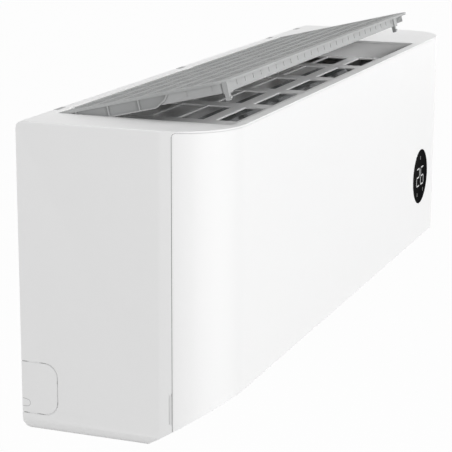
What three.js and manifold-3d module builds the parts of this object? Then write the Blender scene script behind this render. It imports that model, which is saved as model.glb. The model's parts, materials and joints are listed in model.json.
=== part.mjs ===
// A wall-mounted mini split indoor unit, as an assembly of its separate pieces.
// Millimetres. +X runs to the right seen from the front, the front faces -Y, and +Z is up.
// The origin is on the wall plane, at the middle of the unit's length and height.
import * as THREE from "three";
import { mergeVertices } from "three/addons/utils/BufferGeometryUtils.js";
import Module from "manifold-3d";

const wasm = await Module();
wasm.setup();

// ---------- driving dimensions ----------

const LENGTH = 850;
const HEIGHT = 308;
const DEPTH = 209;
const CORNER_R = 64; // front corners, seen from above
const REAR_TOP_R = 7;
const REAR_BOTTOM_R = 10;
const TUCK = { high: 9, deep: 3.5, upperR: 25, lowerR: 4 }; // the ends turn in near the bottom
const SLOPE_TURN_R = 12; // where the underside starts to slope
const OUTLET_RUN = 77; // the sloping underside: how far back it reaches
const OUTLET_RISE = 46.5; // and how far up the front
const SEAM_FROM_FRONT = 50; // side seam between casing and front panel
const WALL = 2.5;
const PANEL_WALL = 3;
const FRONT_WALL = 2;
const LIP = 1.7; // casing edge that covers the front panel's top
const SEAM_R = 4; // the front panel's corner where the side seam meets that edge
const GAP = 0.3; // between pieces that touch

// Recess in the top, and the lattice in it
const RIM_LEFT = 53.5;
const RIM_RIGHT = 138.4;
const RIM_REAR = 15.5;
const RIM_FRONT = 10;
const RECESS_DEPTH = 22;
const RECESS_WALL = 2;
const LATTICE_T = 2;
const CELL_COLUMNS = 6;
const CELL_PITCH = 110.5;
const CELL_LENGTH = 87;
const CELL_RIGHT_MARGIN = 8.6;
const CELL_LEFT_MARGIN = 28.5;
const CELL_ROWS = [27.6, 27.6, 28, 23.4, 33];
const CELL_BARS = [9.3, 3.3, 2.9, 13.7, 5.7]; // the bar behind each row of cells

// Intake panel: its raised pose is the rest pose
const PANEL_OPEN = 13.5; // degrees
const PANEL_T = 2.5;
const PANEL_SIDE_GAP = 1;
const LID_CORNERS = { left: 14, right: 22 };
const SKIRT_DEPTH = 11.5;
const SKIRT_INSET = 2.5; // behind the edge of the lid
const SKIRT_T = 2;
const SKIRT_SHORT = 64; // where it ends, from the right end of the lid
const TAB = { from: 57, to: 28 }; // from the same end
const CLIP_W = 12;
const FLAP_DEPTH = 13.5;
const FLAP_LENGTH = 107.5; // along the end, from just in front of the hinge
const FLAP_FROM_REAR = 12;
const FLAP_SET_IN = 2.6; // the flap's web behind its ribs and rim
const FLAP_T = 3.8;
const FLAP_RIBS = [7.5, 42, 75]; // from the flap's rear end
const SLOT_ROWS = 6;
const SLOT_COLUMNS = 12;
const SLOT_BAR = 6;
const SLOT_MARGIN = 13;
const NET_T = 0.8;
const NET_INSET = 5.5;
const HINGE_INSET = 4; // hinge axis in front of the rear rim
const HINGE_DROP = 3;
const HINGE_R = 1.4;
const KNUCKLE_R = 2.8;
const LUG_R = 3;
const KNUCKLE_HALF = 5;
const LUG_T = 4;
const HINGE_PLACES = [78, 388, 693.5]; // from the left end

// Fan, scroll and outlet
const FAN_R = 45;
const FAN_FROM_FRONT = 113;
const FAN_ABOVE_BOTTOM = 122;
const FAN_BLADES = 18;
const FAN_DISC_T = 3;
const CHAMBER_LEFT = 83.5; // from the left end to the inner face of the bulkhead
const CHAMBER_RIGHT = 179.5; // from the right end
const BULKHEAD_T = 2.5;
const SCROLL_T = 2.2;
const SHAFT_R = 4;
const BEARING_R = 11;
const HOLDER_R = 15;
const MOTOR_R = 38;
const MOTOR_LENGTH = 50;
const VANE_PIVOT_ALONG = 14; // on the slope, from its rear edge
const VANE_PIVOT_IN = 10; // inside the slope
const VANE_T = 5.5;
const VANE_FROM = 8;
const VANE_TO = 76;
const VANE_STUB_R = 3;
const VANE_MOTOR_R = 7;
const BLADES = 10;
const BLADE_PITCH = 56;
const BLADE_T = 1.6;
const BLADE_TILT = 39; // degrees the blade pivots lean back from upright
const LINK_REACH = 8; // from a blade's pivot to its link pin
const LINK_R = 1.1;

// Coil and pipes
const SLAB_T = 25;
const TUBE_R = 3.5;
const TUBE_PITCH = 21;
const TUBES = 4;
const SHEET_T = 1.5;
const GAS_R = 4.76;
const LIQUID_R = 3.18;
const PIPE_END_X = -70;
const PIPE_FROM_WALL = 22;

// Front and end details
const DISPLAY_R = 36;
const DISPLAY_FROM_RIGHT = 122;
const DISPLAY_BELOW_TOP = 178;
const BUTTON_R = 4;
const BUTTON_FROM_RIGHT = 45;
const BUTTON_FROM_WALL = 60;
const SCREW_FROM_END = 42;
const SCREW_FROM_WALL = 100;
const KNOCKOUT = { deep: 39.3, top: 237.6, bottom: 291.3, r: 14 }; // below the top
const NOTCH = { top: 252.5, bottom: 283.7, wide: 3, deep: 2.4 };
const PLATE_T = 1.2;

// ---------- places worked out from them ----------

const TOP = HEIGHT / 2;
const BOTTOM = -TOP;
const END = LENGTH / 2;
const OPEN = {
  left: -END + RIM_LEFT,
  right: END - RIM_RIGHT,
  rear: -RIM_REAR,
  front: -DEPTH + RIM_FRONT,
};
const SLOPE = Math.atan2(OUTLET_RISE, OUTLET_RUN);
const SLOPE_START = DEPTH - OUTLET_RUN; // from the wall
const LEFT = -END + CHAMBER_LEFT;
const RIGHT = END - CHAMBER_RIGHT;
const FAN = { u: DEPTH - FAN_FROM_FRONT, z: BOTTOM + FAN_ABOVE_BOTTOM };
const LATTICE_TOP = TOP - RECESS_DEPTH;
const HINGE = { y: OPEN.rear - HINGE_INSET, z: TOP - HINGE_DROP };
const MOTOR_X = RIGHT + BULKHEAD_T + 4;
const PIVOT = onSlope(VANE_PIVOT_ALONG, VANE_PIVOT_IN);
const PAN = {
  back: FAN.u + FAN_R + 4,
  front: DEPTH - 9.5,
  floor: FAN.z - 18,
  rim: FAN.z - 6,
  wall: 2.5,
};
const SEAT_Z = PAN.floor + 3.7;
const DISPLAY = { x: END - DISPLAY_FROM_RIGHT, z: TOP - DISPLAY_BELOW_TOP };
const ARC_STEP = Math.PI / 12;
const LARGE_R = 8; // arcs up to this radius take half as many steps
const BEND_STEPS = 3;

// ---------- tools for outlines and solids ----------

// A closed geometry as a solid that can be joined and cut.
function solid(geometry) {
  const bare = geometry.clone();
  bare.deleteAttribute("normal");
  bare.deleteAttribute("uv");
  const merged = mergeVertices(bare, 1e-4);
  return new wasm.Manifold(
    new wasm.Mesh({
      numProp: 3,
      vertProperties: merged.attributes.position.array,
      triVerts: new Uint32Array(merged.index.array),
    }),
  );
}

function geometryOf(body) {
  const { vertProperties, triVerts } = body.getMesh();
  const indexed = new THREE.BufferGeometry();
  indexed.setAttribute("position", new THREE.BufferAttribute(vertProperties, 3));
  indexed.setIndex(new THREE.BufferAttribute(triVerts, 1));
  const geometry = indexed.toNonIndexed();
  geometry.computeVertexNormals();
  return geometry;
}

const join = (...bodies) => bodies.reduce((sum, body) => sum.add(body));
const cut = (body, ...tools) => tools.reduce((left, tool) => left.subtract(tool), body);

// Corners are [a, b] or [a, b, radius]. A radius becomes an arc of short steps.
function outline(corners) {
  const at = (i) => new THREE.Vector2(...corners.at(i % corners.length));
  return corners.flatMap(([a, b, r], i) => {
    const here = new THREE.Vector2(a, b);
    if (!r) return [here];
    const back = at(i - 1 + corners.length).sub(here).normalize();
    const ahead = at(i + 1).sub(here).normalize();
    const half = Math.acos(back.dot(ahead)) / 2;
    const centre = back.clone().add(ahead).normalize();
    centre.multiplyScalar(r / Math.sin(half)).add(here);
    const first = here.clone().addScaledVector(back, r / Math.tan(half)).sub(centre);
    const turn = -Math.sign(back.cross(ahead)) * (Math.PI - 2 * half);
    const steps = Math.max(2, Math.round(Math.abs(turn) / (r > LARGE_R ? ARC_STEP : 2 * ARC_STEP)));
    return Array.from({ length: steps + 1 }, (_, k) =>
      first.clone().rotateAround(new THREE.Vector2(), (turn * k) / steps).add(centre),
    );
  });
}

function circle(a, b, r, sides = 16) {
  return Array.from({ length: sides }, (_, k) => {
    const angle = (2 * Math.PI * (k + 0.5)) / sides;
    return [a + r * Math.cos(angle), b + r * Math.sin(angle)];
  });
}

const rectangle = (a0, a1, b0, b1) => [[a0, b0], [a1, b0], [a1, b1], [a0, b1]];

// Each face direction has its own basis: outline axes first, then the way it is extruded.
const BASES = {
  x: [[0, 1, 0], [0, 0, 1], [1, 0, 0]],
  y: [[1, 0, 0], [0, 0, 1], [0, -1, 0]],
  z: [[1, 0, 0], [0, 1, 0], [0, 0, 1]],
};

function prism(axis, corners, from, to) {
  const depth = Math.abs(to - from);
  const shape = new THREE.Shape(outline(corners));
  const geometry = new THREE.ExtrudeGeometry(shape, { depth, bevelEnabled: false });
  const basis = BASES[axis].map((v) => new THREE.Vector3(...v));
  const start = axis === "y" ? -Math.max(from, to) : Math.min(from, to);
  geometry.translate(0, 0, start);
  geometry.applyMatrix4(new THREE.Matrix4().makeBasis(...basis));
  return solid(geometry);
}

function extrude(axis, corners, from, to, holes = []) {
  const low = Math.min(from, to) - 1;
  const high = Math.max(from, to) + 1;
  return cut(prism(axis, corners, from, to), ...holes.map((hole) => prism(axis, hole, low, high)));
}

// Outlines are (y, z) along X, (x, z) along Y, and (x, y) along Z.
const alongX = (corners, x0, x1, holes) => extrude("x", corners, x0, x1, holes);
const alongY = (corners, y0, y1, holes) => extrude("y", corners, y0, y1, holes);
const alongZ = (corners, z0, z1, holes) => extrude("z", corners, z0, z1, holes);
const box = (x0, x1, y0, y1, z0, z1) => alongZ(rectangle(x0, x1, y0, y1), z0, z1);

// Sections are easier to read as (distance from the wall, height).
const fromWall = (corners) => corners.map(([u, z, r]) => [-u, z, r]);
const section = (corners, x0, x1, holes = []) =>
  alongX(fromWall(corners), x0, x1, holes.map(fromWall));
const slab = (u0, u1, z0, z1, x0, x1) => box(x0, x1, -u1, -u0, z0, z1);
const rodX = (u, z, r, x0, x1, sides) => section(circle(u, z, r, sides), x0, x1);

// A point on the sloping underside: along it from its rear edge, and inside it.
function onSlope(along, inside) {
  const u = SLOPE_START + along * Math.cos(SLOPE) - inside * Math.sin(SLOPE);
  const z = BOTTOM + along * Math.sin(SLOPE) + inside * Math.cos(SLOPE);
  return [u, z];
}

const slopeZ = (u, inside = 0) =>
  BOTTOM + (u - SLOPE_START) * Math.tan(SLOPE) + inside / Math.cos(SLOPE);

// A path with one step for each of its places, however far apart they are.
class SteppedPath extends THREE.Curve {
  constructor(places) {
    super();
    this.places = places;
  }

  getPoint(t, target = new THREE.Vector3()) {
    const along = t * (this.places.length - 1);
    const i = Math.min(Math.floor(along), this.places.length - 2);
    return target.lerpVectors(this.places[i], this.places[i + 1], along - i);
  }

  getUtoTmapping(u) {
    return u;
  }
}

// A tube with closed ends, bent through its points with the given bend radius.
function tube(points, r, bend, sides = 6) {
  const corners = points.map((p) => new THREE.Vector3(...p));
  const turns = corners.slice(1, -1).flatMap((corner, i) => {
    const back = corners[i].clone().sub(corner).setLength(bend).add(corner);
    const ahead = corners[i + 2].clone().sub(corner).setLength(bend).add(corner);
    return new THREE.QuadraticBezierCurve3(back, corner, ahead).getPoints(BEND_STEPS);
  });
  const extrudePath = new SteppedPath([corners[0], ...turns, corners.at(-1)]);
  const shape = new THREE.Shape(outline(circle(0, 0, r, sides)));
  const steps = turns.length + 1;
  return solid(new THREE.ExtrudeGeometry(shape, { steps, extrudePath }));
}

// ---------- finishes ----------

const FINISHES = {
  white_casing: { color: 0xe4e6e6, roughness: 0.45, metalness: 0 },
  white_panel: { color: 0xf2f4f4, roughness: 0.3, metalness: 0 },
  grey_plastic: { color: 0xa9adad, roughness: 0.55, metalness: 0 },
  dark_plastic: { color: 0x3a3d3f, roughness: 0.6, metalness: 0 },
  filter_mesh: { color: 0x8b9090, roughness: 0.8, metalness: 0 },
  display_black: { color: 0x0c0d0e, roughness: 0.1, metalness: 0 },
  coil_fins: { color: 0x9aa0a3, roughness: 0.4, metalness: 0.8 },
  copper: { color: 0xb87848, roughness: 0.35, metalness: 1 },
  brass: { color: 0xc2a25a, roughness: 0.35, metalness: 1 },
  steel: { color: 0xb4b8ba, roughness: 0.4, metalness: 0.9 },
  pan_foam: { color: 0xd9dbd8, roughness: 0.8, metalness: 0 },
  rubber: { color: 0x1c1c1c, roughness: 0.9, metalness: 0 },
  circuit_green: { color: 0x2c6b45, roughness: 0.5, metalness: 0 },
};

function piece(name, body, finish) {
  const mesh = new THREE.Mesh(
    geometryOf(body),
    new THREE.MeshStandardMaterial(FINISHES[finish]),
  );
  mesh.name = name;
  return mesh;
}

// ---------- casing and front panel ----------

// The unit's whole outer form, drawn in by planInset on the ends and front and by faceInset
// above and below. With openBack it runs on behind the wall plane, to hollow out a shell.
function envelope(planInset, faceInset, openBack = false) {
  const back = openBack ? 5 : 0;
  const x = END - planInset;
  const corner = CORNER_R - planInset;
  const plan = alongZ(
    [[-x, back], [-x, planInset - DEPTH, corner], [x, planInset - DEPTH, corner], [x, back]],
    BOTTOM - 1,
    TOP + 1,
  );
  const top = TOP - faceInset;
  const bottom = BOTTOM + faceInset;
  const past = DEPTH + 1;
  const turn = SLOPE_START - faceInset * Math.tan(SLOPE / 2);
  const profile = section(
    [
      [-back, top, openBack ? 0 : REAR_TOP_R],
      [-back, bottom, openBack ? 0 : REAR_BOTTOM_R],
      [turn, bottom, SLOPE_TURN_R - faceInset],
      [past, slopeZ(past, faceInset)],
      [past, top],
    ],
    -END - 1,
    END + 1,
  );
  const low = Math.max(TUCK.lowerR - Math.max(planInset, faceInset), 1);
  const foot = x - TUCK.deep;
  const knee = bottom + TUCK.high;
  const ends = alongY(
    [
      [-x, top, 1.5], [-x, knee, TUCK.upperR], [-foot, bottom, low],
      [foot, bottom, low], [x, knee, TUCK.upperR], [x, top, 1.5],
    ],
    -DEPTH - 1,
    back + 1,
  );
  return plan.intersect(profile).intersect(ends);
}

function planRing(outerInset, innerInset) {
  const ring = (inset, back) => {
    const x = END - inset;
    const r = CORNER_R - inset;
    return [[-x, back], [-x, inset - DEPTH, r], [x, inset - DEPTH, r], [x, back]];
  };
  const outer = alongZ(ring(outerInset, 1), BOTTOM - 1, TOP + 1);
  return outer.subtract(alongZ(ring(innerInset, 2), BOTTOM - 2, TOP + 2));
}

// The stretch of space between two distances from the wall.
const between = (u0, u1, z0 = BOTTOM - 1, z1 = TOP + 1) =>
  slab(u0, u1, z0, z1, -END - 1, END + 1);

const SEAM = DEPTH - SEAM_FROM_FRONT;
const STEP = 9; // the casing wall steps in this far behind the seam

function casingShell() {
  const inner = PANEL_WALL + GAP + FRONT_WALL;
  const outer = envelope(0, 0);
  const rear = outer.subtract(envelope(WALL, WALL, true)).intersect(between(-1, SEAM - STEP + 1));
  const deepHollow = envelope(inner, WALL, true);
  const flange = outer.subtract(deepHollow).intersect(between(SEAM - STEP, SEAM));
  const front = envelope(PANEL_WALL + GAP, 0)
    .subtract(deepHollow)
    .intersect(between(SEAM - 1, DEPTH));
  const lip = outer.intersect(between(SEAM - 1, DEPTH + 1, TOP - LIP));
  const corner = seamCorner(GAP).intersect(planRing(0, inner)).intersect(outer);
  return join(rear, flange, front, lip, corner);
}

// What fills the space outside the front panel's rounded corner, seen from the side.
function seamCorner(gap) {
  const u = SEAM + GAP + SEAM_R;
  const z = TOP - LIP - GAP - SEAM_R;
  const square = slab(SEAM - 0.5, u, z, TOP - LIP + 0.5, -END - 1, END + 1);
  return square.subtract(rodX(u, z, SEAM_R + gap, -END - 2, END + 2, 24));
}

const hingeX = HINGE_PLACES.map((place) => -END + place);

function hingeLugs() {
  const lug = (x0) => {
    const round = rodX(-HINGE.y, HINGE.z, LUG_R, x0, x0 + LUG_T, 12);
    const root = box(x0, x0 + LUG_T, HINGE.y, OPEN.rear + 1, HINGE.z - LUG_R, TOP - 1.5);
    const reach = LUG_R * 0.4;
    const trimmed = root.subtract(
      box(x0 - 1, x0 + LUG_T + 1, HINGE.y - 9, HINGE.y - 0.01, TOP - 9, TOP + reach),
    );
    return round.add(trimmed);
  };
  const lugs = hingeX
    .filter((x) => x < OPEN.right)
    .flatMap((x) => [lug(x - KNUCKLE_HALF - GAP - LUG_T), lug(x + KNUCKLE_HALF + GAP)]);
  const bores = hingeX.map((x) =>
    rodX(-HINGE.y, HINGE.z, HINGE_R + GAP, x - 20, x + 20, 8),
  );
  return { lugs, bores };
}

function outerCasing() {
  const { lugs, bores } = hingeLugs();
  const boss = (side) =>
    alongZ(circle(side * (END - SCREW_FROM_END), -SCREW_FROM_WALL, 6), BOTTOM + 1, BOTTOM + 4.5);
  const body = join(casingShell(), boss(-1), boss(1));
  const { left, right, rear, front } = OPEN;
  const intake = box(left, right, front, rear, LATTICE_TOP, TOP + 1);
  const underside = slab(-1, SLOPE_START - 14, BOTTOM - 1, BOTTOM + WALL + 0.5, -END + 60, END - 60);
  const outlet = section(
    [
      onSlope(VANE_PIVOT_ALONG - 8.5, -3),
      onSlope(VANE_TO + 1, -3),
      onSlope(VANE_TO + 1, 4),
      onSlope(VANE_PIVOT_ALONG - 8.5, 4),
    ],
    LEFT + GAP,
    RIGHT - GAP,
  );
  const ledWindow = alongY(
    rectangle(DISPLAY.x - 23, DISPLAY.x + 23, DISPLAY.z - 17, DISPLAY.z + 17),
    -DEPTH - 1,
    -DEPTH + 12,
  );
  const button = alongZ(
    circle(END - BUTTON_FROM_RIGHT, -BUTTON_FROM_WALL, BUTTON_R + GAP),
    BOTTOM - 1,
    BOTTOM + 9,
  );
  const counterbores = [-1, 1].flatMap((side) => {
    const x = side * (END - SCREW_FROM_END);
    return [
      alongZ(circle(x, -SCREW_FROM_WALL, 3.9), BOTTOM - 1, BOTTOM + 2.6),
      alongZ(circle(x, -SCREW_FROM_WALL, 1.9, 12), BOTTOM - 1, BOTTOM + 9),
    ];
  });
  const notches = [...hingeX, END - 46].map((x) =>
    box(x - 9, x + 9, -9.5, -6, TOP - 1.5, TOP + 1),
  );
  const opened = cut(
    body, intake, underside, outlet, ledWindow, button,
    ...counterbores, ...notches, knockoutGroove(), pullNotch(),
  );
  return cut(join(opened, ...lugs), ...bores);
}

function knockoutGroove() {
  const { deep, top, bottom, r } = KNOCKOUT;
  const plug = (inset, x0) =>
    alongX(
      [
        [4, TOP - top - inset],
        [4, TOP - bottom + inset],
        [inset - deep, TOP - bottom + inset, r - inset],
        [inset - deep, TOP - top - inset, r - inset],
      ],
      x0,
      -END + 1,
    );
  return plug(0, -END - 1).subtract(plug(1, -END - 2));
}

function pullNotch() {
  const y = -SEAM;
  return box(-END - 1, -END + NOTCH.deep, y - 1, y + NOTCH.wide, TOP - NOTCH.bottom, TOP - NOTCH.top);
}

function frontPanel() {
  const shell = planRing(0, PANEL_WALL)
    .intersect(envelope(0, 0))
    .intersect(between(SEAM + GAP, DEPTH + 1, BOTTOM - 1, TOP - LIP - GAP));
  const window = alongY(
    circle(DISPLAY.x, DISPLAY.z, DISPLAY_R + GAP, 32),
    -DEPTH - 1,
    -DEPTH + PANEL_WALL + 1,
  );
  return cut(shell, window, seamCorner(0));
}

// ---------- intake: lattice, lid and hinge pins ----------

function cellRows() {
  let y = OPEN.rear;
  return CELL_ROWS.map((row, i) => {
    const start = y - CELL_BARS[i];
    y = start - row;
    return [y, start];
  });
}

// The grid is the floor of a tub whose walls stand under the edge of the casing's opening.
function intakeLattice() {
  const { left, right, rear, front } = OPEN;
  const cells = cellRows().flatMap(([y0, y1]) =>
    Array.from({ length: CELL_COLUMNS }, (_, k) => {
      const x = left + CELL_LEFT_MARGIN + k * CELL_PITCH;
      const reach = Math.min(x + CELL_LENGTH, right - CELL_RIGHT_MARGIN);
      return rectangle(x, reach, y0, y1);
    }).filter(([[x0], [x1]]) => x1 - x0 > 12),
  );
  const w = RECESS_WALL;
  const outside = rectangle(left - w, right + w, front - w, rear + w);
  const floor = alongZ(outside, LATTICE_TOP - LATTICE_T, LATTICE_TOP, cells);
  const walls = alongZ(outside, LATTICE_TOP - 1, TOP - WALL - GAP, [
    rectangle(left, right, front, rear),
  ]);
  const lugRooms = hingeX.map((x) => {
    const half = KNUCKLE_HALF + LUG_T + 2 * GAP;
    const under = HINGE.z - LUG_R - GAP;
    return box(x - half, x + half, rear - 1, rear + 1 + GAP, under, TOP);
  });
  return cut(floor.add(walls), ...lugRooms);
}

const LID = {
  left: OPEN.left + PANEL_SIDE_GAP,
  right: OPEN.right - PANEL_SIDE_GAP,
  rear: OPEN.rear - 2.2,
  front: OPEN.front + 1,
};

// A flap hangs from each end of the lid: a web with ribs and a rim on its outer face.
function endFlap(edge, inward) {
  const z = TOP - HINGE.z - 1;
  const low = TOP - HINGE.z - FLAP_DEPTH;
  const start = LID.rear - HINGE.y - FLAP_FROM_REAR;
  const end = start - FLAP_LENGTH;
  const form = (inset) => [
    [start - inset, z],
    [start - 14, low + inset],
    [end + 15, low + inset, 8],
    [end + 4 + inset, low + 6 + inset, 8],
    [end + inset, z],
  ];
  const across = (from, to) => [edge + inward * from, edge + inward * to];
  const web = alongX(form(0), ...across(FLAP_SET_IN, FLAP_T));
  const rim = alongX(form(0), ...across(0, FLAP_SET_IN + 0.5), [form(1.2)]);
  const [x0, x1] = across(0, FLAP_SET_IN + 0.5);
  const ribs = FLAP_RIBS.map((place) =>
    box(Math.min(x0, x1), Math.max(x0, x1), start - place - 0.6, start - place + 0.6, low, z),
  );
  const whole = alongX(form(0), ...across(0, FLAP_T));
  return join(web, rim, ...ribs).intersect(whole);
}

function lidOutline(inset, back, front) {
  const { left, right } = LID_CORNERS;
  return [
    [LID.left + inset, back],
    [LID.left + inset, front + inset, left - inset],
    [LID.right - inset, front + inset, right - inset],
    [LID.right - inset, back],
  ];
}

// The skirt runs from behind one end flap round to the other, with a gap at the right corner.
function lidSkirt(back, front) {
  const [low, high] = [TOP - HINGE.z - SKIRT_DEPTH, TOP - HINGE.z - 1];
  const rear = back - FLAP_FROM_REAR - FLAP_LENGTH + 30;
  const outer = alongZ(lidOutline(SKIRT_INSET, rear, front), low, high);
  const inner = alongZ(lidOutline(SKIRT_INSET + SKIRT_T, rear + 1, front), low - 1, high + 1);
  const short = LID.right - SKIRT_SHORT;
  return cut(outer, inner, box(short, LID.right + 1, front - 1, front + 30, low - 1, high + 1));
}

// A clip has a body as deep as the skirt and a narrow leg with a hook.
function frontClip(x0, front) {
  const low = TOP - HINGE.z - SKIRT_DEPTH;
  const [y0, y1] = [front + 1, front + 6];
  return join(
    box(x0, x0 + CLIP_W, y0, y1, low - 1, TOP - HINGE.z - 1),
    box(x0, x0 + 4.5, y0, y1 - 1, low - 7.5, low),
    box(x0, x0 + 4.5, y0 - 1.2, y1 - 2, low - 6, low - 4),
  );
}

// The lid is modelled closed, relative to its hinge axis, and its group raises it.
function intakePanel() {
  const z = TOP - HINGE.z;
  const back = LID.rear - HINGE.y;
  const front = LID.front - HINGE.y;
  const slotPitch = (LID.right - LID.left - 2 * SLOT_MARGIN + SLOT_BAR) / SLOT_COLUMNS;
  const slotsFront = front + SLOT_MARGIN;
  const rowPitch = (back - 9 - slotsFront + SLOT_BAR) / SLOT_ROWS;
  const slots = Array.from({ length: SLOT_ROWS * SLOT_COLUMNS }, (_, k) => {
    const x = LID.left + SLOT_MARGIN + (k % SLOT_COLUMNS) * slotPitch;
    const y = slotsFront + Math.floor(k / SLOT_COLUMNS) * rowPitch;
    return rectangle(x, x + slotPitch - SLOT_BAR, y, y + rowPitch - SLOT_BAR);
  });
  const plate = alongZ(
    lidOutline(0, back, front),
    z - PANEL_T,
    z,
    slots,
  );
  const tab = box(
    LID.right - TAB.from, LID.right - TAB.to, front + 4, front + 4 + SKIRT_T, z - 10, z - 1,
  );
  const parts = [
    lidSkirt(back, front), tab,
    endFlap(LID.left, 1), endFlap(LID.right, -1),
    frontClip(LID.left + 2.5, front), frontClip(LID.right - SKIRT_SHORT - CLIP_W, front),
  ];
  const notch = (x) => {
    const half = KNUCKLE_HALF + LUG_T + 2 * GAP;
    return box(x - half, x + half, -KNUCKLE_R - 1.3, 9, -9, 9);
  };
  const knuckle = (x) =>
    rodX(0, 0, KNUCKLE_R, x - KNUCKLE_HALF, x + KNUCKLE_HALF, 12).add(
      box(x - KNUCKLE_HALF, x + KNUCKLE_HALF, -KNUCKLE_R - 3, 0, -0.5, 2.2),
    );
  const notched = cut(join(plate, ...parts), ...hingeX.map(notch));
  const bores = hingeX.map((x) => rodX(0, 0, HINGE_R + GAP, x - 20, x + 20, 8));
  return cut(join(notched, ...hingeX.map(knuckle)), ...bores);
}

function filterNet() {
  const z = TOP - HINGE.z - PANEL_T - GAP;
  const [left, right] = [LID.left + NET_INSET, LID.right - NET_INSET];
  const front = LID.front - HINGE.y + NET_INSET + 1;
  const rear = LID.rear - HINGE.y - 8;
  const corner = LID_CORNERS.right;
  return alongZ(
    [[left, rear], [left, front, corner], [right, front, corner], [right, rear]], z - NET_T, z,
  );
}

const hingePin = (x) => {
  const half = KNUCKLE_HALF + GAP + LUG_T;
  return rodX(-HINGE.y, HINGE.z, HINGE_R, x - half, x + half, 8);
};

function lidGroup() {
  const lid = new THREE.Group();
  lid.position.set(0, HINGE.y, HINGE.z);
  lid.rotation.x = -THREE.MathUtils.degToRad(PANEL_OPEN);
  lid.add(piece("intake_panel", intakePanel(), "grey_plastic"));
  lid.add(piece("filter_net", filterNet(), "filter_mesh"));
  return lid;
}

// ---------- chassis ----------

// The scroll behind the fan, from the rear gutter to the outlet, as a wall of even thickness.
function scrollWall() {
  const around = (degrees, r) => {
    const angle = THREE.MathUtils.degToRad(degrees);
    return [FAN.u + r * Math.cos(angle), FAN.z + r * Math.sin(angle)];
  };
  const places = [
    [GUTTER.front, GUTTER.z - 1],
    around(133.5, FAN_R + 26.5),
    around(158, FAN_R + 12),
    around(180, FAN_R + 8),
    around(213, FAN_R + 10),
    around(248, FAN_R + 19.6),
    [SLOPE_START - 28, BOTTOM + 32],
    [SLOPE_START - 2, BOTTOM + 7],
  ].map((place) => new THREE.Vector2(...place));
  const line = new THREE.SplineCurve(places);
  const steps = 18;
  const side = (offset) =>
    Array.from({ length: steps + 1 }, (_, k) => {
      const here = line.getPoint(k / steps);
      const way = line.getTangent(k / steps);
      return [here.x - way.y * offset, here.y + way.x * offset];
    });
  const wall = [...side(SCROLL_T / 2), ...side(-SCROLL_T / 2).reverse()];
  return section(wall, LEFT - BULKHEAD_T, RIGHT + BULKHEAD_T);
}

function bulkheadOutline() {
  const front = PAN.front - 0.5;
  const high = FAN.z + FAN_R + 12;
  return [
    [FAN.u - 52, high],
    [PAN.back - GAP, high],
    [PAN.back - GAP, PAN.floor - 6],
    [front, PAN.floor - 6],
    [front, slopeZ(front, WALL + GAP)],
    [SLOPE_START, slopeZ(SLOPE_START, WALL + GAP)],
    [SLOPE_START - 15, BOTTOM + WALL + GAP],
    [SLOPE_START - 15, BOTTOM + 1],
    [SLOPE_START - 46, BOTTOM + 1],
    [FAN.u - 30, FAN.z - 65],
    [FAN.u - 56, FAN.z - 30],
    [FAN.u - 58, FAN.z],
  ];
}

function bulkhead(x0, shaftHole) {
  return section(bulkheadOutline(), x0, x0 + BULKHEAD_T, [
    circle(FAN.u, FAN.z, shaftHole),
    circle(...PIVOT, VANE_STUB_R + GAP),
  ]);
}

const insideCasing = () => envelope(WALL + GAP, WALL + GAP, true);

function motorSaddle() {
  const high = FAN.z - 2.3;
  const half = MOTOR_R + 13;
  const rib = (x0) => slab(FAN.u - half, FAN.u + half, BOTTOM + 1, high, x0, x0 + 4);
  const shoulder = (side) => {
    const inner = FAN.u + side * (MOTOR_R + 3.5);
    const outer = FAN.u + side * half;
    const [u0, u1] = [Math.min(inner, outer), Math.max(inner, outer)];
    const block = slab(u0, u1, high - 26, high, MOTOR_X + 11, MOTOR_X + 39);
    return block.subtract(screwBore(side, 2.2, high - 20, high + 1));
  };
  const upper = join(rib(MOTOR_X + 10), rib(MOTOR_X + 36), shoulder(-1), shoulder(1));
  const kept = upper.intersect(insideCasing());
  const foot = slab(
    FAN.u - half, SLOPE_START - 15, BOTTOM + 1, BOTTOM + 4, MOTOR_X + 10, MOTOR_X + 40,
  );
  const seat = rodX(FAN.u, FAN.z, MOTOR_R + GAP, MOTOR_X - 5, MOTOR_X + 60, 32);
  return kept.add(foot).subtract(seat);
}

const SCREW_SPREAD = MOTOR_R + 8.5;
const screwBore = (side, r, z0, z1) =>
  alongZ(circle(MOTOR_X + 25, -FAN.u - side * SCREW_SPREAD, r, 12), z0, z1);

function rearChassis() {
  const side = END - WALL - GAP;
  const back = slab(6, 8.5, BOTTOM + 94, TOP, -side, side).intersect(insideCasing());
  const gutter = join(
    slab(7.5, GUTTER.front + 1, GUTTER.z - 2.2, GUTTER.z, LEFT - BULKHEAD_T, RIGHT + BULKHEAD_T),
    slab(GUTTER.front - 1, GUTTER.front + 1, GUTTER.z - 1, GUTTER.z + 4, LEFT, RIGHT),
  );
  const floorX = END - 60 - GAP;
  const floor = slab(0, SLOPE_START - 14 - GAP, BOTTOM, BOTTOM + WALL, -floorX, floorX).intersect(
    envelope(0, 0),
  );
  const tab = (sideWay) => {
    const [x0, x1, x2] = [floorX - 9, floorX, END - 25].map((x) => sideWay * x);
    const root = box(Math.min(x0, x1), Math.max(x0, x1), -110, -90, BOTTOM + 1, BOTTOM + 8);
    const arm = box(Math.min(x0, x2), Math.max(x0, x2), -110, -90, BOTTOM + 4.8, BOTTOM + 8);
    const x = sideWay * (END - SCREW_FROM_END);
    return join(root, arm).subtract(
      alongZ(circle(x, -SCREW_FROM_WALL, 1.9, 12), BOTTOM, BOTTOM + 9),
    );
  };
  return join(
    back, gutter, scrollWall(), bulkhead(LEFT - BULKHEAD_T, HOLDER_R + GAP),
    bulkhead(RIGHT, 12), floor, motorSaddle(), tab(-1), tab(1),
  );
}

// ---------- fan and motor ----------

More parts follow.
